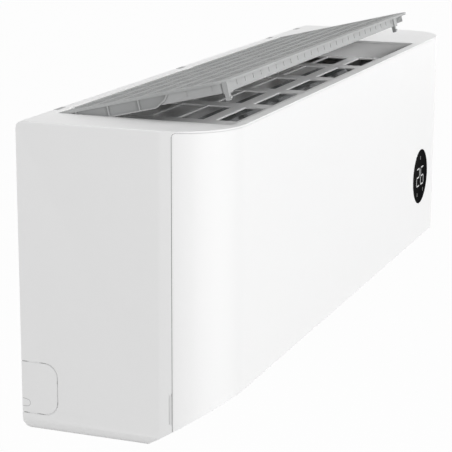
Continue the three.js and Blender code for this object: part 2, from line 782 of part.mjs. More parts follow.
function crossFlowFan() {
  const [x0, x1] = [LEFT + 5.5, RIGHT - 5.5];
  const bladeAt = (k) => {
    const start = (2 * Math.PI * k) / FAN_BLADES;
    const point = (r, turn) => [
      FAN.u + r * Math.cos(start + turn),
      FAN.z + r * Math.sin(start + turn),
    ];
    const outer = [point(FAN_R - 11, 0), point(FAN_R - 5.5, 0.11), point(FAN_R, 0.15)];
    const inner = [point(FAN_R, 0.18), point(FAN_R - 5.5, 0.14), point(FAN_R - 11, 0.04)];
    return section([...outer, ...inner], x0, x1);
  };
  const blades = Array.from({ length: FAN_BLADES }, (_, k) => bladeAt(k));
  const disc = (x, hole) =>
    section(circle(FAN.u, FAN.z, FAN_R + 0.3, 32), x, x + FAN_DISC_T, hole ? [hole] : []);
  const ring = circle(FAN.u, FAN.z, FAN_R - 12, 24);
  const rings = [0.5].map((share) => disc(x0 + share * (x1 - x0), ring));
  const bore = rodX(FAN.u, FAN.z, SHAFT_R + GAP, x1 - 14.5, x1 + 1);
  const hub = rodX(FAN.u, FAN.z, 12, x1 - 15.5, x1).subtract(bore);
  const stub = rodX(FAN.u, FAN.z, SHAFT_R, x0 - 14, x0 + 1);
  const rightDisc = disc(x1 - FAN_DISC_T).subtract(bore);
  return join(...blades, disc(x0), ...rings, rightDisc, hub, stub);
}

const ringX = (outer, inner, x0, x1, sides = 24) =>
  section(circle(FAN.u, FAN.z, outer, sides), x0, x1, [circle(FAN.u, FAN.z, inner, 16)]);

function fanMotor() {
  const body = rodX(FAN.u, FAN.z, MOTOR_R, MOTOR_X, MOTOR_X + MOTOR_LENGTH, 32);
  const bore = rodX(FAN.u, FAN.z, SHAFT_R + GAP, MOTOR_X - 1, MOTOR_X + 43);
  return body.subtract(bore);
}

function motorClamp() {
  const [x0, x1] = [MOTOR_X + 16, MOTOR_X + 34];
  const outside = MOTOR_R + 13;
  const arch = section(circle(FAN.u, FAN.z, MOTOR_R + 3.3, 32), x0, x1);
  const feet = slab(FAN.u - outside, FAN.u + outside, FAN.z - 2, FAN.z, x0, x1);
  const upper = slab(FAN.u - 60, FAN.u + 60, FAN.z - 2, FAN.z + 60, x0 - 1, x1 + 1);
  const hollow = rodX(FAN.u, FAN.z, MOTOR_R + GAP, x0 - 1, x1 + 1, 32);
  const holes = [-1, 1].map((side) => screwBore(side, 2.2, FAN.z - 9, FAN.z + 9));
  return cut(join(arch.intersect(upper), feet), hollow, ...holes);
}

function motorScrew(side) {
  const head = screwBore(side, 3.5, FAN.z + GAP, FAN.z + 3);
  return head.add(screwBore(side, 1.8, FAN.z - 16, FAN.z + 1));
}

// ---------- outlet: vane, its motor, upright blades ----------

const VANE_LEFT = LEFT + 2 * GAP;
const VANE_RIGHT = RIGHT - 2 * GAP;

function outletVane() {
  const blade = section(
    [
      onSlope(VANE_FROM - 1, 4),
      onSlope(VANE_FROM, 1.5),
      onSlope(VANE_FROM + 2.5, 0),
      onSlope(VANE_TO - 6, 0),
      onSlope(VANE_TO, 2.5),
      onSlope(VANE_TO - 1, 4.5),
      onSlope((VANE_FROM + VANE_TO) / 2, VANE_T),
      onSlope(VANE_FROM + 4, VANE_T),
    ],
    VANE_LEFT,
    VANE_RIGHT,
  );
  const ear = (x0) =>
    section(
      [
        onSlope(VANE_PIVOT_ALONG - 5, 3),
        onSlope(VANE_PIVOT_ALONG + 9, 3),
        onSlope(VANE_PIVOT_ALONG + 4, VANE_PIVOT_IN + 3),
        onSlope(VANE_PIVOT_ALONG - 4, VANE_PIVOT_IN + 3),
      ],
      x0,
      x0 + 3,
    );
  const stub = (x0, x1) => rodX(...PIVOT, VANE_STUB_R, x0, x1, 12);
  return join(
    blade, ear(VANE_LEFT), ear(VANE_RIGHT - 3),
    stub(VANE_LEFT - 5, VANE_LEFT + 1), stub(VANE_RIGHT - 1, VANE_RIGHT + 9),
  );
}

function vaneMotor() {
  const x0 = RIGHT + BULKHEAD_T + GAP;
  const body = rodX(...PIVOT, VANE_MOTOR_R, x0, x0 + 11.7);
  return body.subtract(rodX(...PIVOT, VANE_STUB_R + GAP, x0 - 1, x0 + 7, 12));
}

// A blade pivot stands on the scroll's lower end and reaches up to the drain pan.
const BLADE_FOOT = { u: SLOPE_START - 20, z: BOTTOM + 24.5 };

function bladeReach() {
  const lean = THREE.MathUtils.degToRad(BLADE_TILT);
  const way = new THREE.Vector2(Math.sin(lean), Math.cos(lean));
  const foot = new THREE.Vector2(BLADE_FOOT.u, BLADE_FOOT.z);
  const [a, b] = panUnderside().map((corner) => new THREE.Vector2(...corner));
  const line = b.clone().sub(a);
  return a.clone().sub(foot).cross(line) / way.cross(line);
}

function airBlade() {
  const reach = bladeReach();
  const low = 6.3;
  const plate = alongX(
    [[9, low], [-14, low], [-16, reach - 12], [-9, reach - 4.5], [9, reach - 4.5]],
    -BLADE_T / 2,
    BLADE_T / 2,
  );
  const pivot = alongZ(circle(0, 0, 2, 8), 2.2, reach - 0.6);
  const linkPin = alongZ(circle(0, -LINK_REACH, LINK_R, 6), 3.2, low + 2);
  return join(plate, pivot, linkPin);
}

function linkBar(count) {
  const holes = Array.from({ length: count }, (_, k) =>
    circle(k * BLADE_PITCH, -LINK_REACH, LINK_R + GAP, 8),
  );
  const last = (count - 1) * BLADE_PITCH;
  return alongZ(rectangle(-7, last + 7, -LINK_REACH - 3, -LINK_REACH + 3), 3, 6, holes);
}

function bladeGroup() {
  const group = new THREE.Group();
  group.position.set(0, -BLADE_FOOT.u, BLADE_FOOT.z);
  group.rotation.x = THREE.MathUtils.degToRad(BLADE_TILT);
  const first = (LEFT + RIGHT - (BLADES - 1) * BLADE_PITCH) / 2;
  for (let k = 0; k < BLADES; k += 1) {
    const blade = piece(`air_blade_${k + 1}`, airBlade(), "dark_plastic");
    blade.position.x = first + k * BLADE_PITCH;
    group.add(blade);
  }
  ["left", "right"].forEach((side, i) => {
    const bar = piece(`link_bar_${side}`, linkBar(BLADES / 2), "dark_plastic");
    bar.position.x = first + ((i * BLADES) / 2) * BLADE_PITCH;
    group.add(bar);
  });
  return group;
}

// ---------- drain pan ----------

function panUnderside() {
  const tongue = [PAN.back + 5, PAN.floor - 22];
  const front = [PAN.front - 3.5, slopeZ(PAN.front - 3.5, 9.5)];
  return [tongue, front];
}

function drainPan() {
  const { back, front, floor, rim, wall } = PAN;
  const trough = section(
    [
      [back, rim], [back + wall, rim], [back + wall, floor],
      [SLAB_SEAT - 4, floor], [SLAB_SEAT - 4, SEAT_Z - GAP], [SLAB_SEAT + 4, SEAT_Z - GAP],
      [SLAB_SEAT + 4, floor], [front - wall, floor], [front - wall, rim], [front, rim],
      [front, slopeZ(front, WALL + GAP)], ...panUnderside().reverse(), [back, floor - 10],
    ],
    LEFT + GAP,
    RIGHT - GAP,
  );
  const tray = (x0, x1) => slab(back, front, floor - wall, rim, x0, x1);
  const hollow = (x0, x1) => slab(back + wall, front - wall, floor, rim + 1, x0, x1);
  const trays = join(tray(LEFT - 33.5, LEFT + 1), tray(RIGHT - 1, RIGHT + 12.5));
  const hollows = [
    hollow(LEFT - 31, LEFT + 2),
    hollow(RIGHT - 2, RIGHT + 10),
    alongZ(circle(SPOUT.x, -SPOUT.u, 5), floor - 9, floor + 1),
    rodX(SPOUT.u, floor + 6, 3.3, RIGHT + 9, RIGHT + 14, 12),
  ];
  return trough.add(cut(trays, ...hollows));
}

const SPOUT = { x: LEFT - 17, u: PAN.back + 27 };

function drainSpout() {
  const top = PAN.floor - PAN.wall - GAP;
  const bore = 5;
  const profile = [
    [bore, top], [bore, top - 38], [6.6, top - 38], [8.2, top - 33], [6.9, top - 31],
    [8.2, top - 25], [6.9, top - 23], [6.9, top - 3], [10, top - 3], [10, top], [bore, top],
  ].map(([r, z]) => new THREE.Vector2(r, z));
  const lathe = new THREE.LatheGeometry(profile, 16);
  lathe.rotateX(Math.PI / 2);
  lathe.translate(SPOUT.x, -SPOUT.u, 0);
  const turned = solid(lathe);
  return turned.volume() < 0 ? solid(flipped(lathe)) : turned;
}

function flipped(geometry) {
  const index = geometry.index.array;
  for (let i = 0; i < index.length; i += 3) {
    [index[i + 1], index[i + 2]] = [index[i + 2], index[i + 1]];
  }
  return geometry;
}

function drainPlug() {
  const x = RIGHT + 12.5;
  const z = PAN.floor + 6;
  return join(rodX(SPOUT.u, z, 3, x - 4, x + 2, 12), rodX(SPOUT.u, z, 5, x + GAP, x + 3));
}

// ---------- coil, tube sheets and pipes ----------

const SLAB_SEAT = DEPTH - 39;
const GUTTER = { front: 53, z: TOP - 111.2 };

// Each slab of fins runs between two places of its middle line, seen from the end.
const SLABS = {
  front: { from: [SLAB_SEAT, SEAT_Z], to: [SLAB_SEAT, TOP - 112] },
  top: { from: [DEPTH - 43.5, TOP - 100], to: [DEPTH - 98, TOP - 41] },
  rear: { from: [DEPTH - 117, TOP - 42], to: [36, TOP - 102] },
};

function slabFrame({ from, to }) {
  const start = new THREE.Vector2(...from);
  const end = new THREE.Vector2(...to);
  const way = end.clone().sub(start).normalize();
  const side = new THREE.Vector2(way.y, -way.x).multiplyScalar(SLAB_T / 2);
  return { start, end, way, side };
}

function slabCorners(place) {
  const { start, end, side } = slabFrame(place);
  const corner = (at, sign) => at.clone().addScaledVector(side, sign).toArray();
  return [corner(start, 1), corner(end, 1), corner(end, -1), corner(start, -1)];
}

function tubePlaces(place) {
  const { start, end, way } = slabFrame(place);
  const middle = start.clone().add(end).multiplyScalar(0.5);
  return Array.from({ length: TUBES }, (_, k) =>
    middle.clone().addScaledVector(way, (k - (TUBES - 1) / 2) * TUBE_PITCH).toArray(),
  );
}

const SHEET_LEFT = LEFT + GAP;
const SHEET_RIGHT = RIGHT - GAP - SHEET_T;
const STUB_LEFT = LEFT - 5.5;
const STUB_RIGHT = RIGHT + 6.2;

function evaporator(place) {
  const fins = section(slabCorners(place), SHEET_LEFT + SHEET_T + GAP, SHEET_RIGHT - GAP);
  const stubs = tubePlaces(place).map((at) => rodX(...at, TUBE_R, STUB_LEFT, STUB_RIGHT, 8));
  return join(fins, ...stubs);
}

function tubeSheet(x0) {
  const front = slabCorners(SLABS.front);
  const top = slabCorners(SLABS.top);
  const rear = slabCorners(SLABS.rear);
  const edge = [
    front[0], front[1], top[0], top[1], rear[0], rear[1],
    rear[2], rear[3], top[2], top[3], front[2], front[3],
  ];
  const holes = Object.values(SLABS)
    .flatMap(tubePlaces)
    .map((at) => circle(...at, TUBE_R + GAP, 8));
  return section(edge, x0, x0 + SHEET_T, holes);
}

// A return bend joins two neighbouring tubes outside the left tube sheet.
function returnBend([u0, z0], [u1, z1]) {
  const x = STUB_LEFT - GAP;
  const far = x - TUBE_PITCH / 2 - 4;
  return tube([[x, -u0, z0], [far, -u0, z0], [far, -u1, z1], [x, -u1, z1]], TUBE_R, 9.5);
}

function pipe(from, dropX, z, r) {
  const [u, top] = from;
  const x = STUB_RIGHT + GAP;
  return tube(
    [[x, -u, top], [dropX, -u, top], [dropX, -PIPE_FROM_WALL, z], [PIPE_END_X, -PIPE_FROM_WALL, z]],
    r,
    14,
  );
}

const PIPE_Z = { gas: BOTTOM + 74, liquid: BOTTOM + 52 };

function flareNut(z, r, across) {
  const x = PIPE_END_X;
  const hex = circle(PIPE_FROM_WALL, z, across / Math.sqrt(3), 6);
  return section(hex, x - 3, x + 14, [circle(PIPE_FROM_WALL, z, r + GAP, 12)]);
}

function pipeClamp() {
  const bore = (z, r) => circle(PIPE_FROM_WALL, z, r + GAP, 12);
  const [back, front, low, high] = [8.8, PIPE_FROM_WALL + 10, PIPE_Z.liquid - 10, PIPE_Z.gas + 10];
  const block = [
    [back, low], [front, low], [front, high], [back + 5, high + 26], [back, high + 26],
  ];
  return section(block, -15, 15, [bore(PIPE_Z.gas, GAS_R), bore(PIPE_Z.liquid, LIQUID_R)]);
}

// ---------- electrics ----------

const CONTROL = {
  x0: RIGHT + 60.5,
  x1: END - 11,
  z0: BOTTOM + 124,
  z1: TOP - 39,
  back: 8.8,
  front: 88.8,
  wall: 2,
};

function controlBox() {
  const { x0, x1, z0, z1, back, front, wall } = CONTROL;
  const shell = slab(back, front, z0, z1, x0, x1).subtract(
    slab(back + wall, front + 1, z0 + wall, z1 - wall, x0 + wall, x1 - wall),
  );
  const post = (x, z) => alongY(circle(x, z, 3, 12), -back - 1, -30 + GAP);
  const [xs, zs] = [[x0 + 12, x1 - 12], [z0 + 12, z1 - 12]];
  return join(shell, ...xs.flatMap((x) => zs.map((z) => post(x, z))));
}

function controlBoxLid() {
  const { x0, x1, z0, z1, front, wall } = CONTROL;
  const plate = slab(front + GAP, front + GAP + 2, z0, z1, x0, x1);
  const inset = wall + GAP;
  const rim = slab(front - 4, front + 1, z0 + inset, z1 - inset, x0 + inset, x1 - inset);
  const hollow = slab(
    front - 5, front + GAP, z0 + inset + 1.5, z1 - inset - 1.5, x0 + inset + 1.5, x1 - inset - 1.5,
  );
  return plate.add(rim.subtract(hollow));
}

function circuitBoard() {
  const { x0, x1, z0, z1 } = CONTROL;
  const board = slab(30, 31.6, z0 + 4, z1 - 4, x0 + 4, x1 - 4);
  const part = (x, z, wide, high, tall) =>
    slab(31, 31.6 + tall, z, z + high, x, x + wide);
  const can = (x, z, r, tall) => alongY(circle(x, z, r, 12), -31, -31.6 - tall);
  return join(
    board,
    part(x0 + 12, z0 + 16, 22, 28, 16),
    part(x0 + 44, z0 + 14, 30, 14, 10),
    part(x0 + 14, z1 - 46, 16, 30, 12),
    part(x0 + 46, z1 - 34, 40, 10, 8),
    can(x0 + 56, z0 + 56, 9, 30),
    can(x0 + 84, z0 + 60, 6, 20),
  );
}

function terminalBlock() {
  const { x0, z0 } = CONTROL;
  const block = slab(9, 36, z0 - 28, z0 - GAP, x0 + 20, x0 + 84);
  const bays = Array.from({ length: 4 }, (_, k) =>
    slab(24, 40, z0 - 20, z0 - 8, x0 + 24 + k * 15, x0 + 35 + k * 15),
  );
  return cut(block, ...bays);
}

function displayBoard() {
  const y = -DEPTH + PANEL_WALL + FRONT_WALL + 2 * GAP;
  const { x, z } = DISPLAY;
  const board = box(x - 30, x + 30, y, y + 1.6, z - 22, z + 22);
  const digits = box(x - 18, x + 18, y - 2.3, y + 1, z - 11, z + 11);
  return board.add(digits);
}

const displayWindow = () =>
  alongY(circle(DISPLAY.x, DISPLAY.z, DISPLAY_R, 32), -DEPTH, -DEPTH + PANEL_WALL);

// ---------- mounting plate, button and screws ----------

function mountingPlate() {
  const [half, low, high] = [END - 95, BOTTOM + 59, TOP - 44];
  const holes = [-0.8, -0.3, 0.3, 0.8].flatMap((share) => [
    circle(share * half, low + 14, 3, 8),
    circle(share * half, high - 14, 3, 8),
  ]);
  const plate = alongY(
    [[-half, low, 8], [half, low, 8], [half, high, 8], [-half, high, 8]],
    -PLATE_T,
    0,
    holes,
  );
  const hook = (x, z) => box(x - 15, x + 15, -6 + GAP, -PLATE_T + 0.5, z, z + 8);
  return join(plate, hook(-200, high - 8), hook(200, high - 8), hook(-240, low), hook(240, low));
}

function manualButton() {
  const at = [END - BUTTON_FROM_RIGHT, -BUTTON_FROM_WALL];
  const flangeZ = BOTTOM + WALL + GAP;
  return alongZ(circle(...at, BUTTON_R), BOTTOM, flangeZ + 1).add(
    alongZ(circle(...at, BUTTON_R + 2), flangeZ, flangeZ + 1.5),
  );
}

function casingScrew(side) {
  const at = [side * (END - SCREW_FROM_END), -SCREW_FROM_WALL];
  return alongZ(circle(...at, 3.6), BOTTOM + 0.4, BOTTOM + 2.3).add(
    alongZ(circle(...at, 1.6, 12), BOTTOM + 1, BOTTOM + 9.5),
  );
}

// ---------- the assembly ----------

function shellPieces() {
  return [
    piece("mounting_plate", mountingPlate(), "steel"),
    piece("rear_chassis", rearChassis(), "white_casing"),
    piece("outer_casing", outerCasing(), "white_casing"),
    piece("front_panel", frontPanel(), "white_panel"),
    piece("intake_lattice", intakeLattice(), "grey_plastic"),
    piece("display_window", displayWindow(), "display_black"),
    piece("display_board", displayBoard(), "circuit_green"),
    ...["left", "middle", "right"].map((side, i) =>
      piece(`hinge_pin_${side}`, hingePin(hingeX[i]), "dark_plastic"),
    ),
  ];
}

function coilPieces() {
  const slabs = Object.entries(SLABS).map(([name, place]) =>
    piece(`evaporator_${name}`, evaporator(place), "coil_fins"),
  );
  const bends = Object.values(SLABS).flatMap((place) => {
    const at = tubePlaces(place);
    return [returnBend(at[0], at[1]), returnBend(at[2], at[3])];
  });
  const rearTubes = tubePlaces(SLABS.rear);
  return [
    ...slabs,
    piece("tube_sheet_left", tubeSheet(SHEET_LEFT), "steel"),
    piece("tube_sheet_right", tubeSheet(SHEET_RIGHT), "steel"),
    ...bends.map((bend, i) => piece(`return_bend_${i + 1}`, bend, "copper")),
    piece("gas_pipe", pipe(rearTubes[3], STUB_RIGHT + 20, PIPE_Z.gas, GAS_R), "copper"),
    piece("liquid_pipe", pipe(rearTubes[2], STUB_RIGHT + 34, PIPE_Z.liquid, LIQUID_R), "copper"),
    piece("gas_flare_nut", flareNut(PIPE_Z.gas, GAS_R, 20), "brass"),
    piece("liquid_flare_nut", flareNut(PIPE_Z.liquid, LIQUID_R, 16), "brass"),
    piece("pipe_clamp", pipeClamp(), "white_casing"),
  ];
}

function airPieces() {
  return [
    piece("cross_flow_fan", crossFlowFan(), "dark_plastic"),
    piece("fan_bearing", ringX(BEARING_R, SHAFT_R + GAP, LEFT - 4, LEFT + 3), "steel"),
    piece("bearing_holder", ringX(HOLDER_R, BEARING_R + GAP, LEFT - 4, LEFT + 3), "rubber"),
    piece("fan_motor", fanMotor(), "steel"),
    piece("motor_shaft", rodX(FAN.u, FAN.z, SHAFT_R, RIGHT - 19.5, MOTOR_X + 42), "steel"),
    piece("motor_clamp", motorClamp(), "white_casing"),
    piece("motor_screw_rear", motorScrew(-1), "steel"),
    piece("motor_screw_front", motorScrew(1), "steel"),
    piece("outlet_vane", outletVane(), "white_panel"),
    piece("vane_motor", vaneMotor(), "steel"),
    piece("drain_pan", drainPan(), "pan_foam"),
    piece("drain_spout", drainSpout(), "dark_plastic"),
    piece("drain_plug", drainPlug(), "rubber"),
  ];
}

function controlPieces() {
  return [
    piece("control_box", controlBox(), "white_casing"),
    piece("control_box_lid", controlBoxLid(), "white_casing"),
    piece("circuit_board", circuitBoard(), "circuit_green"),
    piece("terminal_block", terminalBlock(), "dark_plastic"),
    piece("manual_button", manualButton(), "white_casing"),
    piece("casing_screw_left", casingScrew(-1), "steel"),
    piece("casing_screw_right", casingScrew(1), "steel"),
  ];
}

const unit = new THREE.Group();
unit.add(...shellPieces(), lidGroup());
unit.add(...coilPieces(), ...airPieces(), bladeGroup(), ...controlPieces());

export default unit;
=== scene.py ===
"""The looks of a wall-mounted mini split indoor unit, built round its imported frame."""

import bmesh
import bpy
import json
import math
from mathutils import Matrix, Vector


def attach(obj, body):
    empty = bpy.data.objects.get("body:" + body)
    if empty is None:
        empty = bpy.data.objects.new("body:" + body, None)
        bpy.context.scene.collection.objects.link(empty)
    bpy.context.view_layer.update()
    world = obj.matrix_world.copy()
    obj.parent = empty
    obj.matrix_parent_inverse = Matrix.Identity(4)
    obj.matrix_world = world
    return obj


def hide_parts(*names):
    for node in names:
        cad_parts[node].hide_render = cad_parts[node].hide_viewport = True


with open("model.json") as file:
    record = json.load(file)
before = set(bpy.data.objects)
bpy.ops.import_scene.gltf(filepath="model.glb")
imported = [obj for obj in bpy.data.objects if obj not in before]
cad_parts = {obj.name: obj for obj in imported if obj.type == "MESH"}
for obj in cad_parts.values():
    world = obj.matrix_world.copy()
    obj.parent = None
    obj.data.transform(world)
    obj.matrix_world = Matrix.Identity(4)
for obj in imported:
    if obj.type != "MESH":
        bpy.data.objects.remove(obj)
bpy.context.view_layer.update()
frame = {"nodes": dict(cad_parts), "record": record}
nodes = frame["nodes"]
body_of = {n: b for b, ns in frame["record"]["behaviour"]["bodies"].items() for n in ns}
slot_of = {s["node"]: s["material_slot"] for s in frame["record"]["subparts"]}

MM = 0.001


# ---------- camera, light and floor ----------

CAMERA_PLACE = Vector((-1.7954, -0.7420, 0.4232))
CAMERA_YAW = math.radians(21.069)
CAMERA_PITCH = math.radians(13.4995)
CAMERA_ROLL = math.radians(0.2329)
CAMERA_LENS = 131.9  # millimetres, on a sensor of the width below
SENSOR_WIDTH = 36


def add_camera():
    level = Vector((math.cos(CAMERA_YAW), math.sin(CAMERA_YAW), 0))
    ahead = level * math.cos(CAMERA_PITCH) - Vector((0, 0, math.sin(CAMERA_PITCH)))
    right = Vector((math.sin(CAMERA_YAW), -math.cos(CAMERA_YAW), 0))
    up = right.cross(ahead)
    turned_right = right * math.cos(CAMERA_ROLL) + up * math.sin(CAMERA_ROLL)
    turned_up = up * math.cos(CAMERA_ROLL) - right * math.sin(CAMERA_ROLL)
    turn = Matrix((turned_right, turned_up, -ahead)).transposed()
    camera = bpy.data.objects.new("camera", bpy.data.cameras.new("camera"))
    camera.data.lens = CAMERA_LENS
    camera.data.sensor_width = SENSOR_WIDTH
    camera.data.clip_end = 100
    camera.matrix_world = Matrix.Translation(CAMERA_PLACE) @ turn.to_4x4()
    bpy.context.scene.collection.objects.link(camera)
    bpy.context.scene.camera = camera


def add_area_light(name, place, size, power):
    lamp = bpy.data.lights.new(name, "AREA")
    lamp.shape = "SQUARE"
    lamp.size = size
    lamp.energy = power
    holder = bpy.data.objects.new(name, lamp)
    aim = LAMP_TARGET - Vector(place)
    holder.location = place
    holder.rotation_euler = aim.to_track_quat("-Z", "Y").to_euler()
    bpy.context.scene.collection.objects.link(holder)


SKY_LIGHT = 0.18
LAMP_TARGET = Vector((0, -0.1, 0))
LAMPS = {  # place, size in metres, power in watts
    "left_light": ((-5.8, 1.0, 1.5), 2.0, 96),
    "front_light": ((0.7, -4.9, 3.4), 2.2, 195),
    "near_light": ((-4.0, -4.2, 1.7), 1.6, 140),
    "right_light": ((5.6, -1.0, 0.9), 2.2, 80),
    "back_light": ((0.6, 5.2, 2.4), 2.2, 92),
}


def seen_directly(tree):
    """1 on rays from the camera and in reflections and glass, and 0 on the others."""
    path = tree.nodes.new("ShaderNodeLightPath")
    first = add_maths(tree, "ADD", path.outputs["Is Camera Ray"], path.outputs["Is Glossy Ray"])
    both = add_maths(tree, "ADD", first, path.outputs["Is Transmission Ray"])
    return add_maths(tree, "MINIMUM", both, 1.0)


def add_maths(tree, operation, a, b):
    node = tree.nodes.new("ShaderNodeMath")
    node.operation = operation
    for socket, value in zip(node.inputs, (a, b)):
        if isinstance(value, (int, float)):
            socket.default_value = value
        else:
            tree.links.new(value, socket)
    return node.outputs[0]


def add_world():
    world = bpy.data.worlds.new("studio")
    world.use_nodes = True
    tree = world.node_tree
    tree.nodes.clear()
    lighting = tree.nodes.new("ShaderNodeBackground")
    lighting.inputs["Color"].default_value = (1, 1, 1, 1)
    lighting.inputs["Strength"].default_value = SKY_LIGHT
    backdrop = tree.nodes.new("ShaderNodeBackground")
    backdrop.inputs["Color"].default_value = (1, 1, 1, 1)
    mix = tree.nodes.new("ShaderNodeMixShader")
    output = tree.nodes.new("ShaderNodeOutputWorld")
    tree.links.new(seen_directly(tree), mix.inputs["Fac"])
    tree.links.new(lighting.outputs[0], mix.inputs[1])
    tree.links.new(backdrop.outputs[0], mix.inputs[2])
    tree.links.new(mix.outputs[0], output.inputs["Surface"])
    bpy.context.scene.world = world


SQUARE = ((-1, -1), (1, -1), (1, 1), (-1, 1))
FLOOR_Z = -2.3
FLOOR_REACH = 30
FLOOR_GREY = 0.45
FLOOR_OWN_SHARE = 0.02  # how much of its own shading the camera sees


def add_floor():
    mesh = bpy.data.meshes.new("floor")
    corners = [(x * FLOOR_REACH, y * FLOOR_REACH, FLOOR_Z) for x, y in SQUARE]
    mesh.from_pydata(corners, [], [(0, 1, 2, 3)])
    material = bpy.data.materials.new("pale_floor")
    material.use_nodes = True
    tree = material.node_tree
    tree.nodes.clear()
    matte = tree.nodes.new("ShaderNodeBsdfDiffuse")
    matte.inputs["Color"].default_value = (FLOOR_GREY, FLOOR_GREY, FLOOR_GREY, 1)
    white = tree.nodes.new("ShaderNodeEmission")
    white.inputs["Color"].default_value = (1, 1, 1, 1)
    mix = tree.nodes.new("ShaderNodeMixShader")
    output = tree.nodes.new("ShaderNodeOutputMaterial")
    share = add_maths(tree, "MULTIPLY", seen_directly(tree), 1 - FLOOR_OWN_SHARE)
    tree.links.new(share, mix.inputs["Fac"])
    tree.links.new(matte.outputs[0], mix.inputs[1])
    tree.links.new(white.outputs[0], mix.inputs[2])
    tree.links.new(mix.outputs[0], output.inputs["Surface"])
    mesh.materials.append(material)
    floor = bpy.data.objects.new("floor", mesh)
    bpy.context.scene.collection.objects.link(floor)


# ---------- materials ----------


class Finish:
    """A material under construction, with object coordinates for its patterns."""

    def __init__(self, name):
        self.material = bpy.data.materials.new(name)
        self.material.use_nodes = True
        self.tree = self.material.node_tree
        self.tree.nodes.clear()
        self.shader = self.tree.nodes.new("ShaderNodeBsdfPrincipled")
        output = self.tree.nodes.new("ShaderNodeOutputMaterial")
        self.tree.links.new(self.shader.outputs[0], output.inputs["Surface"])
        self.places = self.tree.nodes.new("ShaderNodeTexCoord").outputs["Object"]

    def set(self, **values):
        for name, value in values.items():
            self.shader.inputs[name.replace("_", " ")].default_value = value
        return self

    def link(self, output, name):
        self.tree.links.new(output, self.shader.inputs[name])

    def noise(self, scale, detail=2.0, stretch=None):
        node = self.tree.nodes.new("ShaderNodeTexNoise")
        node.inputs["Scale"].default_value = scale
        node.inputs["Detail"].default_value = detail
        self.tree.links.new(self.stretched(stretch), node.inputs["Vector"])
        return node.outputs["Fac"]

    def stretched(self, stretch):
        if stretch is None:
            return self.places
        node = self.tree.nodes.new("ShaderNodeMapping")
        node.inputs["Scale"].default_value = stretch
        self.tree.links.new(self.places, node.inputs["Vector"])
        return node.outputs[0]

    def stripes(self, axis, pitch):
        node = self.tree.nodes.new("ShaderNodeTexWave")
        node.wave_type = "BANDS"
        node.bands_direction = axis
        node.wave_profile = "SIN"
        node.inputs["Scale"].default_value = math.pi / (10 * pitch)
        self.tree.links.new(self.places, node.inputs["Vector"])
        return node.outputs["Fac"]

    def ramp(self, value, low, high, start=0.3, end=0.7):
        """A colour between low and high that follows a value."""
        node = self.tree.nodes.new("ShaderNodeValToRGB")
        first, last = node.color_ramp.elements
        first.position, last.position = start, end
        first.color, last.color = (*low, 1), (*high, 1)
        self.tree.links.new(value, node.inputs["Fac"])
        return node.outputs["Color"]

    def spread(self, value, low, high):
        """A number between low and high that follows a value from 0.3 to 0.7."""
        node = self.tree.nodes.new("ShaderNodeMapRange")
        node.inputs["From Min"].default_value = 0.3
        node.inputs["From Max"].default_value = 0.7
        node.inputs["To Min"].default_value = low
        node.inputs["To Max"].default_value = high
        self.tree.links.new(value, node.inputs["Value"])
        return node.outputs["Result"]

    def bumps(self, *layers):
        """Bumps of (height value, depth in metres), one on top of another."""
        under = None
        for height, depth in layers:
            node = self.tree.nodes.new("ShaderNodeBump")
            node.inputs["Strength"].default_value = 1.0
            node.inputs["Distance"].default_value = depth
            self.tree.links.new(height, node.inputs["Height"])
            if under is not None:
                self.tree.links.new(under, node.inputs["Normal"])
            under = node.outputs["Normal"]
        self.link(under, "Normal")
        return self


def shade(colour, by):
    return tuple(min(1.0, c * by) for c in colour)


def moulded_plastic(name, colour, roughness, grain=0.000004, mottle=0.02, gloss=0.5):
    """Moulded plastic: a fine spark texture, with slight mottling in tone and gloss."""
    finish = Finish(name).set(Specular_IOR_Level=gloss)
    broad = finish.noise(9, 3)
    finish.link(finish.ramp(broad, shade(colour, 1 - mottle), shade(colour, 1 + mottle)), "Base Color")
    finish.link(finish.spread(finish.noise(60), roughness - 0.04, roughness + 0.04), "Roughness")
    finish.bumps((finish.noise(1100, 2), grain))
    return finish.material


def finned_aluminium(name):
    """Stacked fins of thin aluminium, at right angles to the tubes, with painted shade in the gaps
    between them.
    """
    finish = Finish(name).set(Metallic=0.3, Roughness=0.6)
    fins = finish.stripes("X", 0.0016)
    finish.link(finish.ramp(fins, (0.05, 0.053, 0.055), (0.34, 0.35, 0.355), 0.15, 0.8), "Base Color")
    finish.bumps((fins, 0.0002))
    return finish.material


def drawn_metal(name, colour, roughness, stretch):
    """Drawn or rolled metal: fine lines along it and a little tarnish."""
    finish = Finish(name).set(Metallic=1.0)
    cloud = finish.noise(35, 4)
    lines = finish.noise(400, 2, stretch)
    finish.link(finish.ramp(cloud, shade(colour, 0.82), shade(colour, 1.08)), "Base Color")
    finish.link(finish.spread(lines, roughness - 0.1, roughness + 0.12), "Roughness")
    finish.bumps((lines, 0.00003))
    return finish.material


def zinc_steel(name):
    """Zinc-plated sheet steel, with its crystal pattern."""
    finish = Finish(name).set(Metallic=0.9)
    cells = finish.tree.nodes.new("ShaderNodeTexVoronoi")
    cells.inputs["Scale"].default_value = 110
    finish.tree.links.new(finish.places, cells.inputs["Vector"])
    tone = finish.tree.nodes.new("ShaderNodeSeparateColor")
    finish.tree.links.new(cells.outputs["Color"], tone.inputs[0])
    finish.link(finish.ramp(tone.outputs[0], (0.50, 0.52, 0.53), (0.66, 0.68, 0.69), 0, 1), "Base Color")
    finish.link(finish.spread(tone.outputs[1], 0.32, 0.5), "Roughness")
    finish.bumps((finish.noise(300), 0.00002))
    return finish.material


